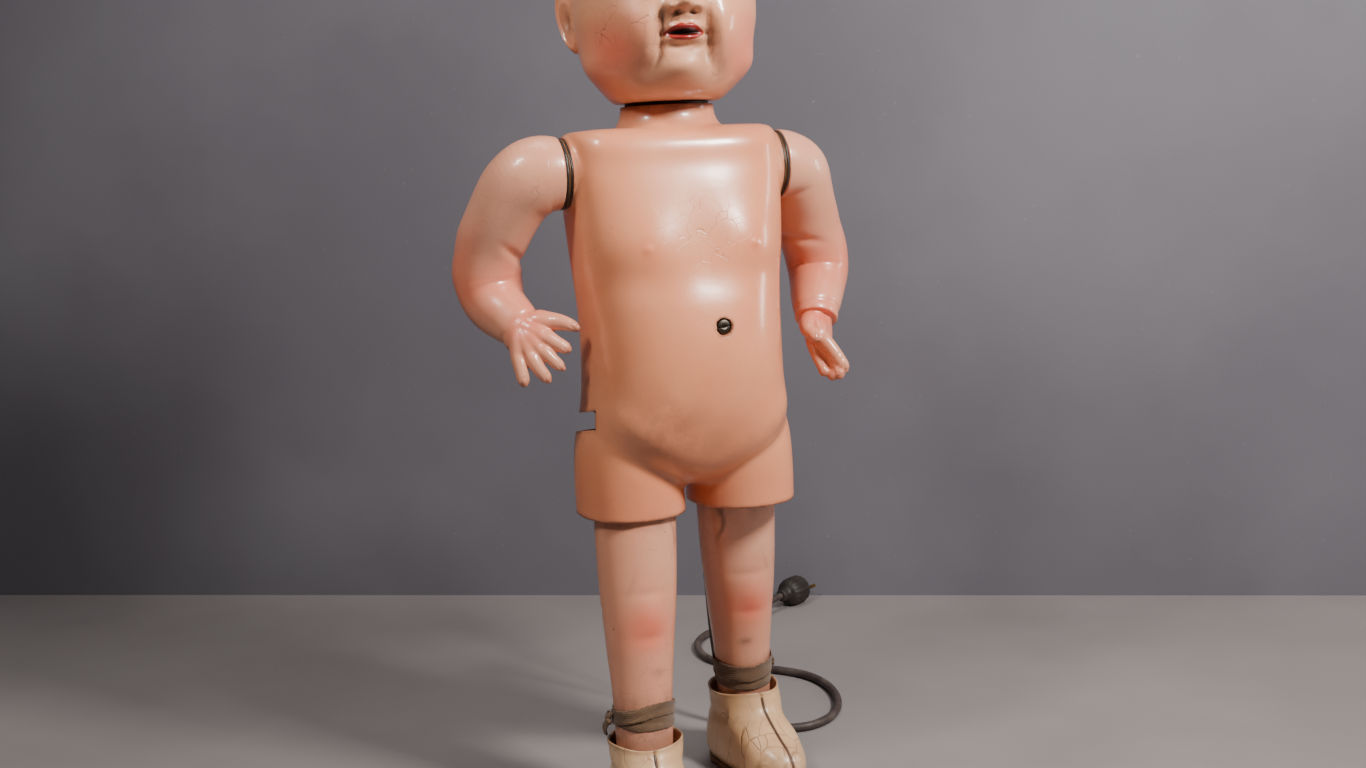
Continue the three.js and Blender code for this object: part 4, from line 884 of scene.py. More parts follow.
def turned_about(ob, angle, axis="Z", height=0.0):
    """Turns a piece about an axis through the hips' middle line."""
    pivot = Matrix.Translation((0, SHIFT / 1000, height / 1000))
    ob.data.transform(pivot @ Matrix.Rotation(angle, 4, axis) @ pivot.inverted())
    return ob


dress(turned_about(head(), HEAD_TURN), face, "head", "body_lacquer", "head_shell")
for side in (-1, 1):
    dress(turned_about(ear(side), HEAD_TURN), face, "head", "body_lacquer")

# Arms

DISC = 2.4
ARM_START = SIDE_FLAT + 2 * DISC + 0.9
ARM = {
    "right": [
        (0, 0, 0, 30, 30), (6, 0.3, 0.5, 31, 31.2), (13.5, 1.3, 0.2, 32, 32.4),
        (22, 3.8, -2.8, 32.2, 32.8), (30, 8.2, -9, 31.6, 32.2), (37, 15, -20, 30.8, 31.2),
        (45.5, 27, -39, 30, 30), (51.5, 38, -59, 29, 29), (54, 45, -79, 29.5, 29.5),
        (52.5, 42, -96, 28, 28), (49, 32, -109, 25, 25), (42.5, 20, -118, 22, 22),
        (37.5, 10, -125, 18.5, 20), (34, 2, -132, 15, 19.5),
    ],
    "left": [
        (0, 0, 0, 29.5, 30), (7, 0.2, -0.6, 29.3, 29.5), (14.5, 1.2, -2.8, 28.4, 28.5),
        (20.5, 3.5, -7, 27.6, 27.8), (25, 7, -13.5, 27.3, 27.5), (29, 12.5, -23, 27.5, 27.5),
        (36, 23, -39, 27.8, 28.2), (44.5, 34, -59, 28.5, 29), (54, 41, -79, 28.5, 29),
        (55.5, 40, -97, 27.8, 28), (50.5, 31, -111, 25.8, 25.5), (43, 19, -122, 23, 23.5),
        (37.5, 9, -131, 20, 21.5), (34.5, 3, -139, 18, 19.5),
    ],
}
FINGERS = {
    "right": [
        [
            (34, 2, -126, 13), (29, -6, -129, 11), (23.8, -12, -131.5, 7.8), (14.4, -17, -138, 6.1),
            (7, -20, -142.8, 5.2), (3.2, -21, -145.4, 2),
        ],
        [
            (35, 2, -128, 13), (32, -7, -135, 11), (27.3, -13, -141.3, 7.4), (20.6, -18, -149, 5.8),
            (13, -20, -157, 5), (8.8, -20, -160.6, 2),
        ],
        [
            (36, 2, -129, 13), (36, -6, -138, 11), (35, -12, -146.6, 7.2), (30.8, -16, -156.5, 5.8),
            (24.5, -18, -166, 5), (21.6, -18, -170.2, 2),
        ],
        [
            (37.5, 3, -128, 13), (41, -3, -138, 10.5), (44.3, -8, -148.5, 6.8), (44.2, -12, -158.5, 5.4),
            (43, -14, -168, 4.7), (42.2, -15, -172, 2),
        ],
        [
            (31, 3, -124, 13), (24, -3, -121, 11), (17.7, -8, -120.5, 8.4), (8, -16, -121.5, 6.2),
            (0.4, -22, -124.5, 4.8), (-4, -25, -128, 2.2),
        ],
    ],
    "left": [
        [
            (33, 2, -141, 12), (29, -9, -146, 10), (27.5, -19, -152, 7.2), (33, -26, -161, 6),
            (38.5, -31, -171, 5.6), (42.5, -34, -179.5, 5), (44, -35, -184, 2),
        ],
        [
            (37, 4, -141, 12), (33, -6, -150, 10), (32, -15, -158, 7.2), (36, -23, -169, 6),
            (38.5, -30, -180, 5.6), (37, -35, -186, 4.6), (35, -37, -187, 2),
        ],
        [
            (38, 6, -141, 12), (36, -3, -152, 10), (36, -10, -162, 7), (38, -18, -173, 6),
            (37, -26, -183, 5.4), (32, -31, -187, 4.6), (30, -33, -187, 2),
        ],
        [
            (36, 7, -141, 12), (31, 0, -151, 9.5), (26.5, -7, -160, 6.8), (26.5, -14, -170, 5.6),
            (28, -21, -179.5, 5), (27, -26, -184, 4.2), (26, -28, -184.5, 2),
        ],
        [
            (31, 1, -139, 12), (24, -5, -143, 10), (20, -12, -147, 7.4), (19.5, -20, -150, 5.8),
            (19.5, -26, -152.5, 4.6), (19.5, -29, -153.5, 2),
        ],
    ],
}


def dense(stations, steps):
    """More stations along a smooth curve through the given ones."""
    s = np.array(stations, float)
    t = np.concatenate([[0], np.cumsum(np.linalg.norm(np.diff(s[:, :3], axis=0), axis=1))])
    rows = [[a, *b] for a, b in zip(t, s)]
    return np.array([between(rows, a) for a in np.linspace(0, t[-1], steps)])


def bent_loft(name, stations, count, first=None):
    """A skin round a bent line of stations: place, width and thickness."""
    s = np.asarray(stations, float)
    across = Y
    a = turns(count)[:, None]
    rings = []
    for i, (radius, thick) in enumerate(s[:, 3:]):
        along = s[min(i + 1, len(s) - 1), :3] - s[max(i - 1, 0), :3]
        along = unit(along if i or first is None else first)
        across = unit(across - along * (across @ along))
        up = np.cross(along, across)
        rings.append(s[i, :3] + radius * np.cos(a) * across + thick * np.sin(a) * up)
    return loft(name, rings)


def on_arm(q):
    """A place given from the arm's root, in the body's millimetres."""
    return np.asarray(q, float) + [ARM_START, 0, SHOULDER]


def arm_root(p):
    """The body's millimetres, measured from the arm's root."""
    return p[:, 0] - ARM_START, p[:, 1], p[:, 2] - SHOULDER


def away(p, q):
    return np.linalg.norm(p - q, axis=1)


# Folds at the elbows, shoulder and wrists: place, way across, width, depth, limits in height
CREASES = {
    "right": [((46, 10, -59), (0.62, 0.12, -0.77), 4.0, 2.4, (-30, -40), (-84, -74))],
    "left": [
        ((39, 5, -70), (-0.12, 0.1, -0.99), 4.0, 2.0, (-52, -60), (-88, -80)),
        ((10, -22, -27), (0.3, 0.1, -0.95), 3.6, 1.1, (-44, -36)),
    ],
}
WRIST = {
    "right": ((37.5, 9, -125), (-0.45, -0.62, -0.64), 2.8, 1.1),
    "left": ((37.5, 9, -134), (-0.2, -0.6, -0.77), 2.8, 1.1),
}


def arm(word, side):
    def put(stations, steps):
        s = np.array([(*row, row[3])[:5] for row in stations], float)
        return dense(s + [ARM_START, 0, SHOULDER, 0, 0], steps)

    parts = [bent_loft("arm", put(ARM[word], 70), 72, X)]
    parts += [bent_loft("finger", put(f, 36), 24) for f in FINGERS[word]]
    ob = remeshed(joined(f"{word}_arm_skin", parts), 1.0, 3)
    p, n = points(ob), per_vertex(ob, "normal")
    x, y, z = arm_root(p)
    move = np.zeros(len(p))
    inner = ease(0.4, -0.5, n[:, 0]) * ease(0.9, 0.1, n[:, 1])
    around = ease(1.2, -0.2, n[:, 1])
    for point, across, width, depth, *limits in (*CREASES[word], WRIST[word]):
        crease = bell((p - on_arm(point)) @ np.array(across) / width) * (inner if limits else around)
        for a, b in limits:
            crease = crease * ease(a, b, z)
        move -= depth * crease
    move += 1.2 * bell((z + 44) / 14) * ease(0.3, 0.9, n[:, 0])
    move += 1.2 * bell((y - 64) / 16, (z + 80) / 14)
    move += 0.5 * np.sin(x / 9) * np.sin(z / 13 + 1) * np.sin(y / 11)
    q = p + n * (move * ease(1.0, 5.0, x))[:, None]
    # dimples over the knuckles, joints and nails of the fingers
    for f in FINGERS[word]:
        knuckle, last, tip = (np.array(f[i][:3], float) for i in (2, -2, -1))
        q -= n * (0.9 * bell(away(q, on_arm(knuckle + [0, -6, 3])) / 3.4))[:, None]
        way = unit(tip - last)
        back = np.array([0.15, -0.9, 0.4])
        back = unit(back - way * (back @ way))
        rel = q - on_arm(last)
        u, v = rel @ way, rel @ np.cross(way, back)
        nail = np.maximum(np.abs(u - 0.4) / 3.0, np.abs(v) / 2.6)
        q -= n * (0.45 * bell((nail - 1.0) / 0.22) * ((rel @ back) > 1.0))[:, None]
    set_points(ob, q)
    boolean(ob, block(0, ARM_START, -60, 60, *ROOM))
    boolean(ob, bar((60, 0, SHOULDER), (ARM_START + 23, 0, SHOULDER), 4.3, 24))
    p, n = points(ob), per_vertex(ob, "normal")
    x, y, z = arm_root(p)
    hand = away(p, on_arm(WRIST[word][0]) + [-4, -12, -6])
    blush = 0.7 * bell((z + 92) / 26) + 1.5 * bell(hand / 16)
    blush += 0.45 * bell((z + 60) / 30) * ease(0.3, 0.95, n[:, 0])
    # Grime at the arm's root, and painted shade on the side of the hand that faces back.
    grime_and_shade = 0.5 * ease(2.5, 0, x) + 0.16 * np.exp(-((hand / 34) ** 4)) * ease(0.2, 0.8, n[:, 1])
    for f in FINGERS[word]:
        d = away(p, on_arm(f[-1][:3]))
        grime_and_shade += 0.5 * bell(d / 6)
        blush += 0.4 * bell(d / 7)
    wear_and_shade(ob, grime_and_shade, np.clip(blush, 0, 1) * 0.8)
    return dress(sided(ob, side), limb, f"{word}_arm", "limb_lacquer", f"{word}_arm")


def sided(ob, side):
    """Mirrors a piece, built for the left, that belongs on the right."""
    if side < 0:
        ob.data.transform(Matrix.Scale(-1, 4, (1, 0, 0)))
        ob.data.flip_normals()
    return ob


def weld(ob):
    modifier(ob, "WELD", merge_threshold=1e-6)
    return settle(ob)


for word, side in SIDES:
    arm(word, side)


# Leather discs between the torso and the arms: dark layers with a tan one between

LAYERS = {
    "torso": ((0.0, 1.5, 0.0, black_leather), (1.5, DISC, -0.7, tan_leather)),
    "arm": ((0.0, 0.5, -0.7, tan_leather), (0.5, DISC, 0.0, black_leather)),
}


def disc(word, side, place_name, start):
    a = turns(96)
    ragged = 0.35 * np.sin(5 * a + start) + 0.22 * np.sin(11 * a + 2 * start)
    body = "torso" if place_name == "torso" else f"{word}_arm"
    for i, (low, high, grow, material) in enumerate(LAYERS[place_name]):
        rows = [(low, 28.9), (low + 0.25, 29.4), (high - 0.25, 29.4), (high, 28.9)]
        rows = [(low, 4.4), *((x, r + grow + ragged) for x, r in rows), (high, 4.4), (low, 4.4)]
        name = f"{word}_{place_name}_disc"
        ob = lathe(f"{name}_layer_{i + 1}", (start, 0, SHOULDER), (Y, Z, X), rows, a, caps=False)
        ob = sided(weld(ob), side)
        dress(ob, material, body, "dark_leather", *([] if i else [name]))


for word, side in SIDES:
    disc(word, side, "torso", SIDE_FLAT + 0.3)
    disc(word, side, "arm", SIDE_FLAT + 0.6 + DISC)

# Legs

SOLE = 6
FLOOR = SOLE + 0.3 + 2.5
SHOE_LOW = SOLE + 0.3
SHOE_TOP = 75
foot_drop = HIP - FLOOR - 0.3 - 20 * sin(STRIDE)
LEG = [
    (HIP - foot_drop / cos(STRIDE), 20, 20), (60, 24, 25), (88, 25, 26), (112, 26, 27),
    (150, 29, 30.5), (180, 32, 32.5), (210, 34, 33.5), (263, 35.5, 34), (300, 35, 33.5), (315, 32, 31),
    (320, 28, 27),
]


def splay_at(z):
    """How far out the leg's middle stands at a height."""
    return THIGH_X + np.maximum(0, HEM + 20 - z) * tan(SPLAY)


def on_leg(ob, word, side, material, slot, *nodes):
    """Swings a piece of the leg to its place in the stride and dresses it."""
    turned_about(sided(ob, side), side * STRIDE, "X", HIP)
    return dress(ob, material, f"{word}_leg", slot, *nodes)


def leg_points(ob):
    """Places on the leg, measured from its middle line."""
    p = points(ob)
    return p, p[:, 0] - splay_at(p[:, 2]), p[:, 1], p[:, 2]


def leg(word, side):
    levels = [*np.linspace(LEG[0][0], 310, 138), *np.linspace(312, 319, 6), 319.8]
    rings = []
    for z in levels:
        half, depth = between(LEG, z)
        rings.append(body_ring(z, half, depth, depth, 2, 96, splay_at(z)))
    ob = loft(f"{word}_leg_skin", rings)
    p, x, y, z = leg_points(ob)
    fronted = ease(5, -20, y)
    move = 1.5 * fronted * bell(x / 14, (z - 178) / 13)
    move -= 0.9 * fronted * bell((z - 196) / 4) * bell(x / 16)
    move -= 1.0 * fronted * bell((z - 158) / 4.5) * bell(x / 13)
    move -= 1.6 * ease(0, 20, y) * bell((z - 182) / 4)
    move += 1.2 * ease(0, 20, y) * bell((z - 144) / 18)
    move *= ease(112, 124, z)
    set_points(ob, p + per_vertex(ob, "normal") * move[:, None])
    _, x, y, z = leg_points(ob)
    blush = 0.95 * bell(x / 20, (z - 166) / 20) * fronted
    around = np.arctan2(y, x)
    # Darker just under the hem, unevenly round the leg.
    grime_and_shade = ease(240, 262, z) * (0.55 + 0.35 * np.sin(around * 5 + side) + 0.2 * np.sin(around * 13 + 2))
    grime_and_shade += 0.8 * bell((x + 6) / 6, (z - 128) / 4) * fronted
    crack = x + 25 + 2.5 * np.sin(z / 7 + side)
    grime_and_shade += 0.9 * bell(crack / 1.6) * ease(218, 240, z) * fronted
    grime_and_shade += 0.35 * bell((x - 16 + 0.3 * (z - 200)) / 1.8, (z - 206) / 12) * fronted
    grime_and_shade += 0.5 * ease(116, 104, z)
    wear_and_shade(ob, grime_and_shade, blush)
    return on_leg(ob, word, side, limb, "limb_lacquer", f"{word}_leg")


# Shoes

SHOE = [
    (6.3, 30, 86, 37, 2.25), (14, 33, 90.5, 39.5, 2.3), (24, 33.5, 89, 40, 2.25),
    (34, 33, 80, 39.5, 2.2), (42, 32, 66, 38.5, 2.1), (50, 31, 53, 37.5, 2.05), (60, 31, 42, 36, 2),
    (69, 31.5, 36, 35, 2), (75, 32.5, 34, 34, 2),
]


def on_shoe(ob, word, side, material, slot, *nodes):
    """Turns a piece of the shoe out at the toe, sets it at its place in the stride and dresses it."""
    ankle = side * (HIP - 56) * sin(STRIDE)
    back = Matrix.Translation((0, -SHIFT / 1000, 0))
    out = Matrix.Translation(((float(splay_at(SHOE_TOP)) + 0.5) / 1000, (SHIFT + ankle) / 1000, 0))
    ob.data.transform(out @ Matrix.Rotation(TOE_OUT, 4, "Z") @ back)
    return dress(sided(ob, side), material, f"{word}_leg", slot, *nodes)


def shoe_ring(z, inset, count):
    return inset_ring(SHOE, z, inset, count)


def creased(p, seed):
    """Dents and folds of an old shoe: over the instep, at the heel and along the sides."""
    x, y, z = p.T
    out = p.copy()
    mid = np.array([0, -12.0])
    d = p[:, :2] - mid
    r = np.maximum(np.linalg.norm(d, axis=1), 1)
    move = 1.1 * np.sin(z / 5.5 + 0.05 * x + seed) * bell((y + 34) / 20) * ease(30, 42, z)
    move += 0.9 * np.sin(z / 6.5 + seed) * ease(10, 34, y) * ease(30, 45, z)
    move -= 1.6 * bell((z - 52) / 6) * bell((np.abs(x) - 28) / 9) * (y > -20)
    move += 0.6 * np.sin(y / 8 + seed) * np.sin(z / 7 + 2 * seed) * ease(18, 26, z)
    move -= 0.8 * bell(x / 1.6) * (y < 0) * ease(14, 22, z)
    out[:, :2] += d / r[:, None] * np.minimum(move, 1.2)[:, None]
    top = ease(66, 75, z)
    out[:, 2] += top * (1.0 * np.sin(np.arctan2(y, x) * 3 + seed) - 0.8)
    return out


def shoe(word, side):
    seed = 1.0 if side > 0 else 2.6
    outer = [shoe_ring(z, 0, 128) for z in np.linspace(SHOE_LOW, SHOE_TOP, 64)]
    lip = [shoe_ring(SHOE_TOP, inset, 128) + [0, 0, rise] for inset, rise in ((0.5, 0.5), (1.4, 0.3))]
    inner = [shoe_ring(z, 2.3, 128) for z in np.linspace(74, 9.2, 50)]
    ob = loft(f"{word}_shoe_skin", outer + lip + inner)
    set_points(ob, creased(points(ob), seed))
    p = points(ob)
    x, y, z = p.T
    grime_and_shade = 0.8 * ease(14, 7, z) + 0.6 * ease(70, 76, z) + 0.9 * bell(x / 1.5) * (y < 0)
    grime_and_shade += 0.35 * ease(-55, -85, y)
    # The whole inside of the shoe gets the full dark mask: painted shade in the opening.
    inside = (np.arange(len(p)) >= 65 * 128) & (z > 5)
    wear_and_shade(ob, np.where(inside, 1.0, grime_and_shade))
    on_shoe(ob, word, side, shoe_leather, "shoe_leather", f"{word}_shoe_upper")
    # the welt and the two-layer sole
    rows = [(0, 0.6), (0.4, 1.4), (2.6, 1.8), (3.0, 1.3), (3.4, 1.8), (5.4, 2.0), (6.0, 1.6)]
    rings = [shoe_ring(SHOE_LOW, -grow, 128) * [1, 1, 0] + [0, 0, z] for z, grow in rows]
    sole = loft(f"{word}_sole_skin", rings)
    p = points(sole)
    x, y, z = p.T
    a, r = np.arctan2(y, x), np.hypot(x, y)
    wobble = (0.35 * np.sin(9 * a + seed) + 0.25 * np.sin(23 * a)) * (r > 20)
    p[:, :2] *= 1 + (wobble / np.maximum(r, 1))[:, None]
    set_points(sole, p)
    paint(sole, "grime_and_shade", ease(2, 0, z) * 0.8 + 0.6 * bell((z - 3) / 0.4))
    on_shoe(sole, word, side, sole_leather, "sole_leather", f"{word}_shoe_sole")
    seam(word, side, seed)


def strip(name, line, half, thick, normal_of):
    """A flat strip laid along a line on a surface."""
    rings = []
    a = turns(8)[:, None]
    for i, c in enumerate(line):
        along = unit(line[min(i + 1, len(line) - 1)] - line[max(i - 1, 0)])
        n = normal_of(c)
        rings.append(c + half * np.cos(a) * unit(np.cross(along, n)) + thick * np.sin(a) * n)
    return loft(name, rings)


def seam(word, side, seed):
    """The dark front seam and its stitches, from the opening to the toe, and the welt's stitches."""
    line = []
    for z in np.linspace(71, 15, 46):
        ring = creased(shoe_ring(z, 0, 256), seed)
        line.append(ring[np.argmin(np.abs(ring[:, 0]) + 1000 * (ring[:, 1] > 0))] + [0, -0.1, 0])

    def out(c):
        return unit(np.array([0, -0.75, 0.66] if c[2] < 60 else [0, -0.98, 0.2]))

    ob = strip(f"{word}_shoe_seam", line, 1.5, 0.7, out)
    paint(ob, "grime_and_shade", 0.5)
    on_shoe(ob, word, side, seam_leather, "sole_leather")
    stitches = []
    for s in np.linspace(1, len(line) - 2, 26):
        i = int(s)
        step = line[i + 1] - line[i]
        along = 0.8 * unit(step)
        for across in (-3.0, 3.0):
            m = line[i] + step * (s - i) + [across, 0.45, 0]
            stitches.append(bar(m - along, m + along, 0.42, 8))
    on_shoe(joined(f"{word}_shoe_stitches", stitches), word, side, tan_leather, "shoe_leather")
    ring = shoe_ring(SHOE_LOW, -1.0, 120) * [1, 1, 0] + [0, 0, 6.15]
    stitches = [bar(a, b, 0.4, 6) for a, b in zip(ring[::2], ring[1::2])]
    on_shoe(joined(f"{word}_welt_stitches", stitches), word, side, tan_leather, "sole_leather")


for word, side in SIDES:
    leg(word, side)
    shoe(word, side)


# Cloth straps: two uneven turns round the ankle, with a knot and a loose tail

STRAP = 26
STRAP_LOW = SHOE_TOP + 3


def wrap(name, low, high, out, seed, lean):
    """One turn of the strip: an open band with folds and a frayed edge."""
    rows, cols = 16, 150
    a = turns(cols)
    rings = []
    for i in range(rows + 1):
        q = i / rows
        tilt = lean * np.sin(a + seed) + 0.7 * np.sin(3 * a + 2 * seed)
        edge = 0.35 * rng.standard_normal(cols) if i in (0, rows) else 0
        level = low + (high - low) * q
        z = np.clip(level + tilt + edge, STRAP_LOW + 0.2, STRAP_LOW + STRAP + 0.5)
        half, depth = between(LEG, level)
        fold = 0.55 * np.sin(q * 9 + 1.3 * np.sin(a * 2 + seed)) + 0.35 * np.sin(a * 7 + 5 * q + seed)
        r = out + 0.5 + 0.45 * fold
        rings.append(np.stack([splay_at(z) + (half + r) * np.cos(a), (depth + r) * np.sin(a), z], 1))
    return loft(name, rings, caps=False)


def tail(name, path, half, seed):
    """A loose, frayed end of the strip."""
    t = np.linspace(0, 1, 26)
    k = np.linspace(0, 1, len(path))
    line = np.stack([np.interp(t, k, c) for c in np.array(path, float).T], 1)
    rings = []
    for c, v in zip(line, t):
        w = half * (0.55 + 0.45 * sin(pi * min(v * 0.9 + 0.12, 1)))
        ragged = 0.5 * sin(9 * v + seed)
        across = np.linspace(-1, 1, 9)
        rings.append([c + [0.9 * sin(4 * s + 6 * v), w * s, ragged * s * s] for s in across])
    return loft(name, rings, caps=False, closed=False)


# Each turn of a strap: bottom and top over its low edge, way out, start and lean of its folds, flat size
TURNS = {
    "right": [(6, 17.5, 0.1, 0.4, 4.4, (0.0118, 0.172)), (8.5, 20, 1.15, 3.5, 4.4, (0.0118, 0.178))],
    "left": [(1, 15.5, 0.1, 0.7, 1.6, (0.0146, 0.170)), (9.5, 25, 1.15, 1.7, 1.6, (0.0157, 0.176))],
}
TAIL = [(0, 0, 0), (3, 3, -4), (3.5, 5, -10), (3, 5.5, -15)]
KNOT = (((-1.5, -4.5, 5), (1.0, 5, -5), 3.1), ((-1.0, 5, 4), (1.2, -4.5, -4), 2.8))


def knot(at, name):
    """Two crossed rolls."""
    rolls = []
    for start, end, r in KNOT:
        a, b = np.array(start), np.array(end)
        rows = []
        for v in np.linspace(0, 1, 14):
            c = at + a + (b - a) * v + [1.8 * sin(pi * v), 0, 0]
            full = r * (0.55 + 0.45 * sin(pi * min(max(v, 0.08), 0.92)))
            rows.append((*c, full, 0.8 * full))
        rolls.append(bent_loft("roll", rows, 20))
    return joined(name, rolls)


def fray(name, low, high):
    """Loose threads along the strap's edges, in turn at the low and the high one."""
    threads = []
    for k in range(46):
        a = rng.uniform(0, 2 * pi)
        z, r, rise = (high - 1.2, 2.2, 1.0) if k % 2 else (low + 1.2, 1.2, -0.55)
        half, depth = between(LEG, z)
        base = np.array([float(splay_at(z)) + (half + r) * cos(a), (depth + r) * sin(a), z])
        out = np.array([0.5 * cos(a), 0.5 * sin(a), rise])
        out = unit(out + 0.5 * rng.standard_normal(3))
        size = rng.uniform(1.2, 3.2)
        threads.append(bar(base, base + out * size, 0.16, 5, 0.07))
    return joined(name, threads)


def strap(word, side):
    sheets = []
    for i, (low, high, *rest, flat) in enumerate(TURNS[word]):
        band = wrap(f"{word}_strap_turn_{i + 1}", STRAP_LOW + low, STRAP_LOW + high, *rest)
        sheets.append((band, flat, "stretched"))
    at = np.array([float(splay_at(STRAP_LOW + 13)) + 26 + 3.2, 4, STRAP_LOW + 13])
    loose = tail(f"{word}_strap_tail_1", at + TAIL, 5.3, 0.7 if side > 0 else 2.1)
    sheets.append((loose, (0.0106, 0.018), "hung"))
    for ob, flat, held in sheets:
        modifier(ob, "SOLIDIFY", thickness=0.0007, offset=0)
        on_leg(settle(ob), word, side, strap_cloth, "strap_cloth")
    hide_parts(f"{word}_ankle_strap")
    low, high = STRAP_LOW + TURNS[word][0][0], STRAP_LOW + TURNS[word][1][1]
    on_leg(knot(at - [0, 0.5, 0], f"{word}_strap_knot"), word, side, strap_cloth, "strap_cloth")
    on_leg(fray(f"{word}_strap_fray", low, high), word, side, strap_cloth, "strap_cloth")


for word, side in SIDES:
    strap(word, side)

# Neck washer and belly screw

WASHER = [(0.3, 5.6), (0.3, 35.4), (0.7, 36), (2.3, 36), (2.7, 35.4), (2.7, 5.6), (0.3, 5.6)]
washer = loft(
    "neck_washer_skin",
    [round_ring(NECK_TOP + z, r, 96) for z, r in WASHER],
    caps=False,
)
dress(weld(washer), black_leather, "torso", "dark_leather", "neck_washer")


def belly_screw():
    y = belly_face + 1.5
    head_rows = ((-0.35, 0.01), (-0.3, 3), (0, 5), (0.4, 5.75), (1, 6), (4, 6), (4.3, 5.6), (4.3, 3))
    rows = [*head_rows, (-74.3 - y, 3)]
    ob = lathe("belly_screw_skin", (BELLY_X, y, NAVEL), BACKWARD, rows, turns(64))
    slot_cut = block(-9, 9, y - 3, y + 1.6, -0.85, 0.85)
    slot_cut.data.transform(Matrix.Rotation(radians(-6), 4, "Y"))
    slot_cut.data.transform(Matrix.Translation((BELLY_X / 1000, 0, NAVEL / 1000)))
    return dress(boolean(ob, slot_cut), screw_steel, "torso", "steel", "belly_screw")


belly_screw()

# Cord

ROUTE = [
    (EXIT_X, 48, EXIT), (EXIT_X, 88, EXIT), (56.4, 96, EXIT - 0.2), (57.5, 110, EXIT - 4),
    (59.5, 123.5, EXIT - 14.1), (62, 132.5, EXIT - 31.6), (64.5, 137.3, EXIT - 56.6),
    (67, 139, EXIT * 0.684), (69, 139, EXIT * 0.559), (70.5, 138.5, 134), (71.8, 137, 100),
    (73.5, 134, 72), (77, 128.5, 48), (83.5, 120.5, 28), (93, 110.5, 13.5), (104.5, 99.5, 6.4),
    (117, 90, 4.5), (131, 83, 4.4), (146, 80.9, 4.4), (161, 84.4, 4.4), (178, 95, 4.4), (194, 114, 4.4),
    (206, 139, 4.4), (213, 167, 4.4), (213.5, 196, 4.4), (206, 222, 4.4), (190, 245, 4.4),
    (168, 268, 4.4), (149, 290, 4.4), (137, 313, 4.4), (134, 338, 4.4), (138.5, 364, 4.4),
    (149.5, 388, 4.4), (166, 405.5, 4.4), (188, 417.5, 4.4), (212, 425.5, 4.8), (236, 435, 8.3),
    (257, 446.5, 14.2),
]
PLUG = np.array([290, 467, 17.5])
WAY = unit(np.array([0.86, 0.51, 0]))
ROUTE += [tuple(PLUG - d * WAY) for d in (16, 8, 0.3)]


def through(route, per=8):
    """Points on the centripetal curve through the route's points."""
    p = [np.array(q, float) for q in route]
    p = [2 * p[0] - p[1], *p, 2 * p[-1] - p[-2]]
    out = []
    for p0, p1, p2, p3 in zip(p, p[1:], p[2:], p[3:]):
        d0, d1, d2 = (max(np.linalg.norm(b - a) ** 0.5, 1e-6) for a, b in ((p0, p1), (p1, p2), (p2, p3)))
        m1 = ((p1 - p0) / d0 - (p2 - p0) / (d0 + d1) + (p2 - p1) / d1) * d1
        m2 = ((p2 - p1) / d1 - (p3 - p1) / (d1 + d2) + (p3 - p2) / d2) * d1
        for k in range(per):
            t = k / per
            ends = p1 * (2 * t**3 - 3 * t**2 + 1) + p2 * (3 * t**2 - 2 * t**3)
            out.append(ends + m1 * (t**3 - 2 * t**2 + t) + m2 * (t**3 - t**2))
    out.append(p[-2])
    return np.array(out)


CORD_R = 4.2
line = through(ROUTE)
line = line[line[:, 1] > 0]
stations = []
for i, c in enumerate(line):
    stations.append((*c, *(CORD_R + 0.04 * sin(i * k) for k in (1.7, 2.3))))
cord = bent_loft("power_cord_skin", stations, 20)
dress(cord, cord_rubber, "torso", "rubber", "power_cord")

# The plug lies on its side, with its pins toward the wall, and has finger flutes round its wide part
PROFILE = [
    (0, 5), (0.1, 6.6), (0.8, 7.1), (4, 7.3), (7, 7.6), (10, 8.2), (11.4, 9.6), (12.6, 12.2), (14, 14.2),
    (17, 16.2), (20, 17), (24, 17.4), (26, 17.45), (30, 17.5), (38, 17.5), (39.2, 17.45), (40.6, 17.1),
    (41.6, 16.4), (42, 15.4),
]
a = turns(96)
flutes = 0.4 + 0.4 * np.cos(16 * a)
rows = [(d, r - flutes * (r > 15)) for d, r in PROFILE]
plug = lathe("plug_skin", PLUG, (np.array([-WAY[1], WAY[0], 0]), Z, WAY), rows, a)
dress(plug, plug_plastic, "torso", "plug_moulding", "cord_plug")
tuple(place(line[0]))
[tuple(q) for q in place(line)]

# Materials of the pieces that keep their solids
BY_SLOT = {
    "steel": steel,
    "brass": brass,
    "motor_iron": iron,
    "rubber": cord_rubber,
    "dark_leather": black_leather,
    "plug_moulding": plug_plastic,
}
for row in frame["record"]["subparts"]:
    material = BY_SLOT.get(row["material_slot"])
    node = frame["nodes"].get(row["node"])
    if material and node:
        node.data.materials.clear()
        node.data.materials.append(material)

# Floor, backdrop and lights


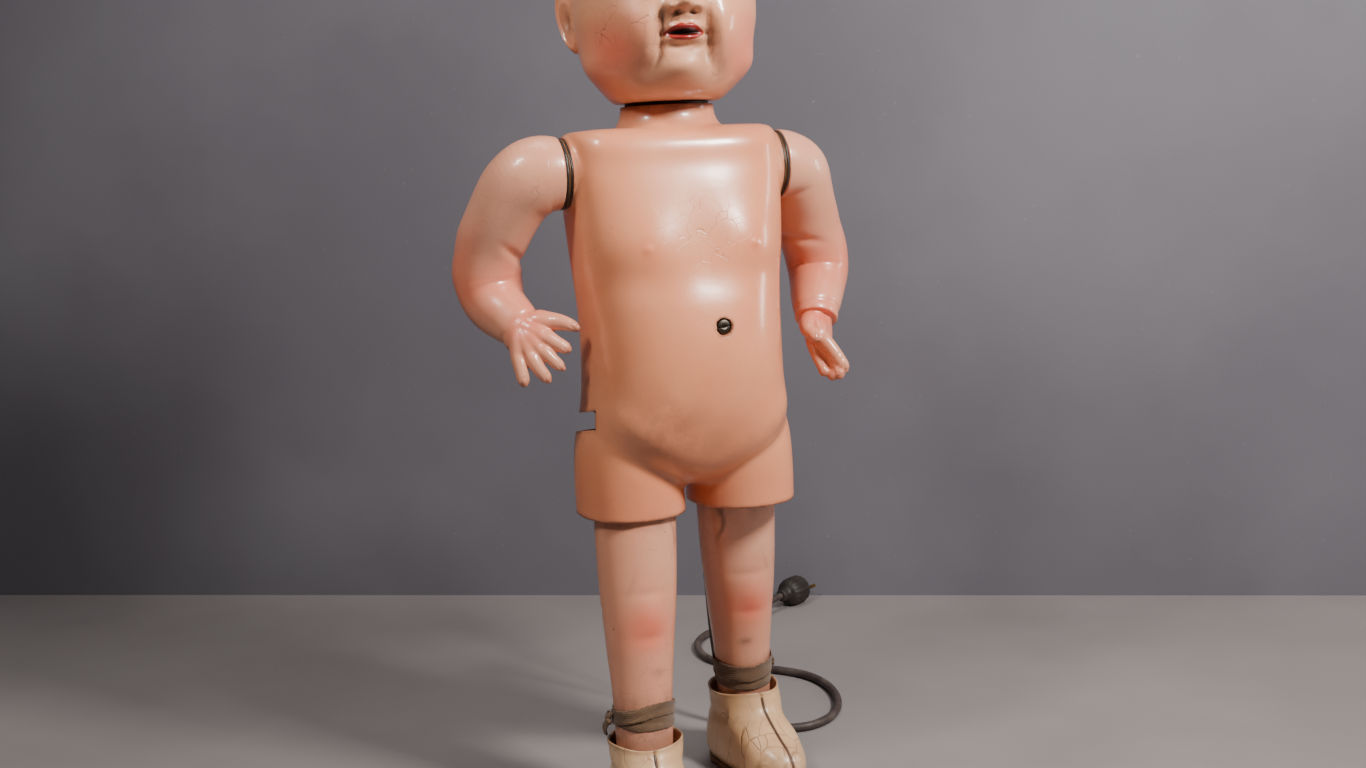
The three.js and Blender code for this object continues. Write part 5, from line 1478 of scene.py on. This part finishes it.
def stage():
    """A pale floor that ends at a grey wall."""
    along = Vector((0.865, -0.502, 0))
    foot = Vector((0.205, 0.612, 0))
    near = Vector((0.502, 0.865, 0)) * -5
    up = Vector((0, 0, 6))
    left, right = foot - along * 1.15, foot + along * 1.2
    ends = foot - along * 9, foot + along * 9
    for name, corners, pale, deep in (
        ("floor", (ends[0] + near, ends[1] + near, ends[1], ends[0]), (140, 133, 132), (128, 121, 120)),
        ("wall", (left, right, right + up, left + up), (112, 110, 118), (100, 97, 105)),
    ):
        ob = mesh_object(name, [tuple(c) for c in corners], [(0, 1, 2, 3)], smooth=False)
        m = Nodes(name, pale)
        m.over(m.ramp(m.noise(2.2, 4), 0.3, 0.7), deep)
        m.over(m.ramp(m.noise(160, 5, 0.7), 0.66, 0.74, 0, 0.25), (200, 198, 198))
        ob.data.materials.append(m.finish(Roughness=0.7, Normal=m.bump(m.noise(60, 4), 0.06, 0.001)))


def softbox(name, at, toward, size, power, color=(1, 1, 1)):
    lamp = bpy.data.lights.new(name, "AREA")
    lamp.shape = "RECTANGLE"
    lamp.size, lamp.size_y = size
    lamp.energy = power
    lamp.color = color
    ob = shown(bpy.data.objects.new(name, lamp))
    ob.location = at
    ob.rotation_euler = (Vector(toward) - Vector(at)).to_track_quat("-Z", "Y").to_euler()


stage()
softbox("key", (0.52, -0.86, 1.2), (0, 0, 0.52), (0.22, 0.25), 29, (1.0, 0.96, 0.91))
softbox("fill", (-0.75, -0.35, 1.35), (0, 0, 0.5), (0.15, 0.27), 9, (1.0, 0.95, 0.9))
softbox("side", (1.2, -0.3, 0.62), (0, 0, 0.42), (0.1, 0.36), 2.6, (1.0, 0.97, 0.95))
softbox("top", (0.2, 0.25, 2.6), (0, 0.1, 0.3), (1.2, 0.9), 14)
world = bpy.data.worlds.new("world")
bpy.context.scene.world = world
world.use_nodes = True
sky = world.node_tree.nodes["Background"].inputs
sky[0].default_value = (0.55, 0.56, 0.60, 1)
sky[1].default_value = 0.1
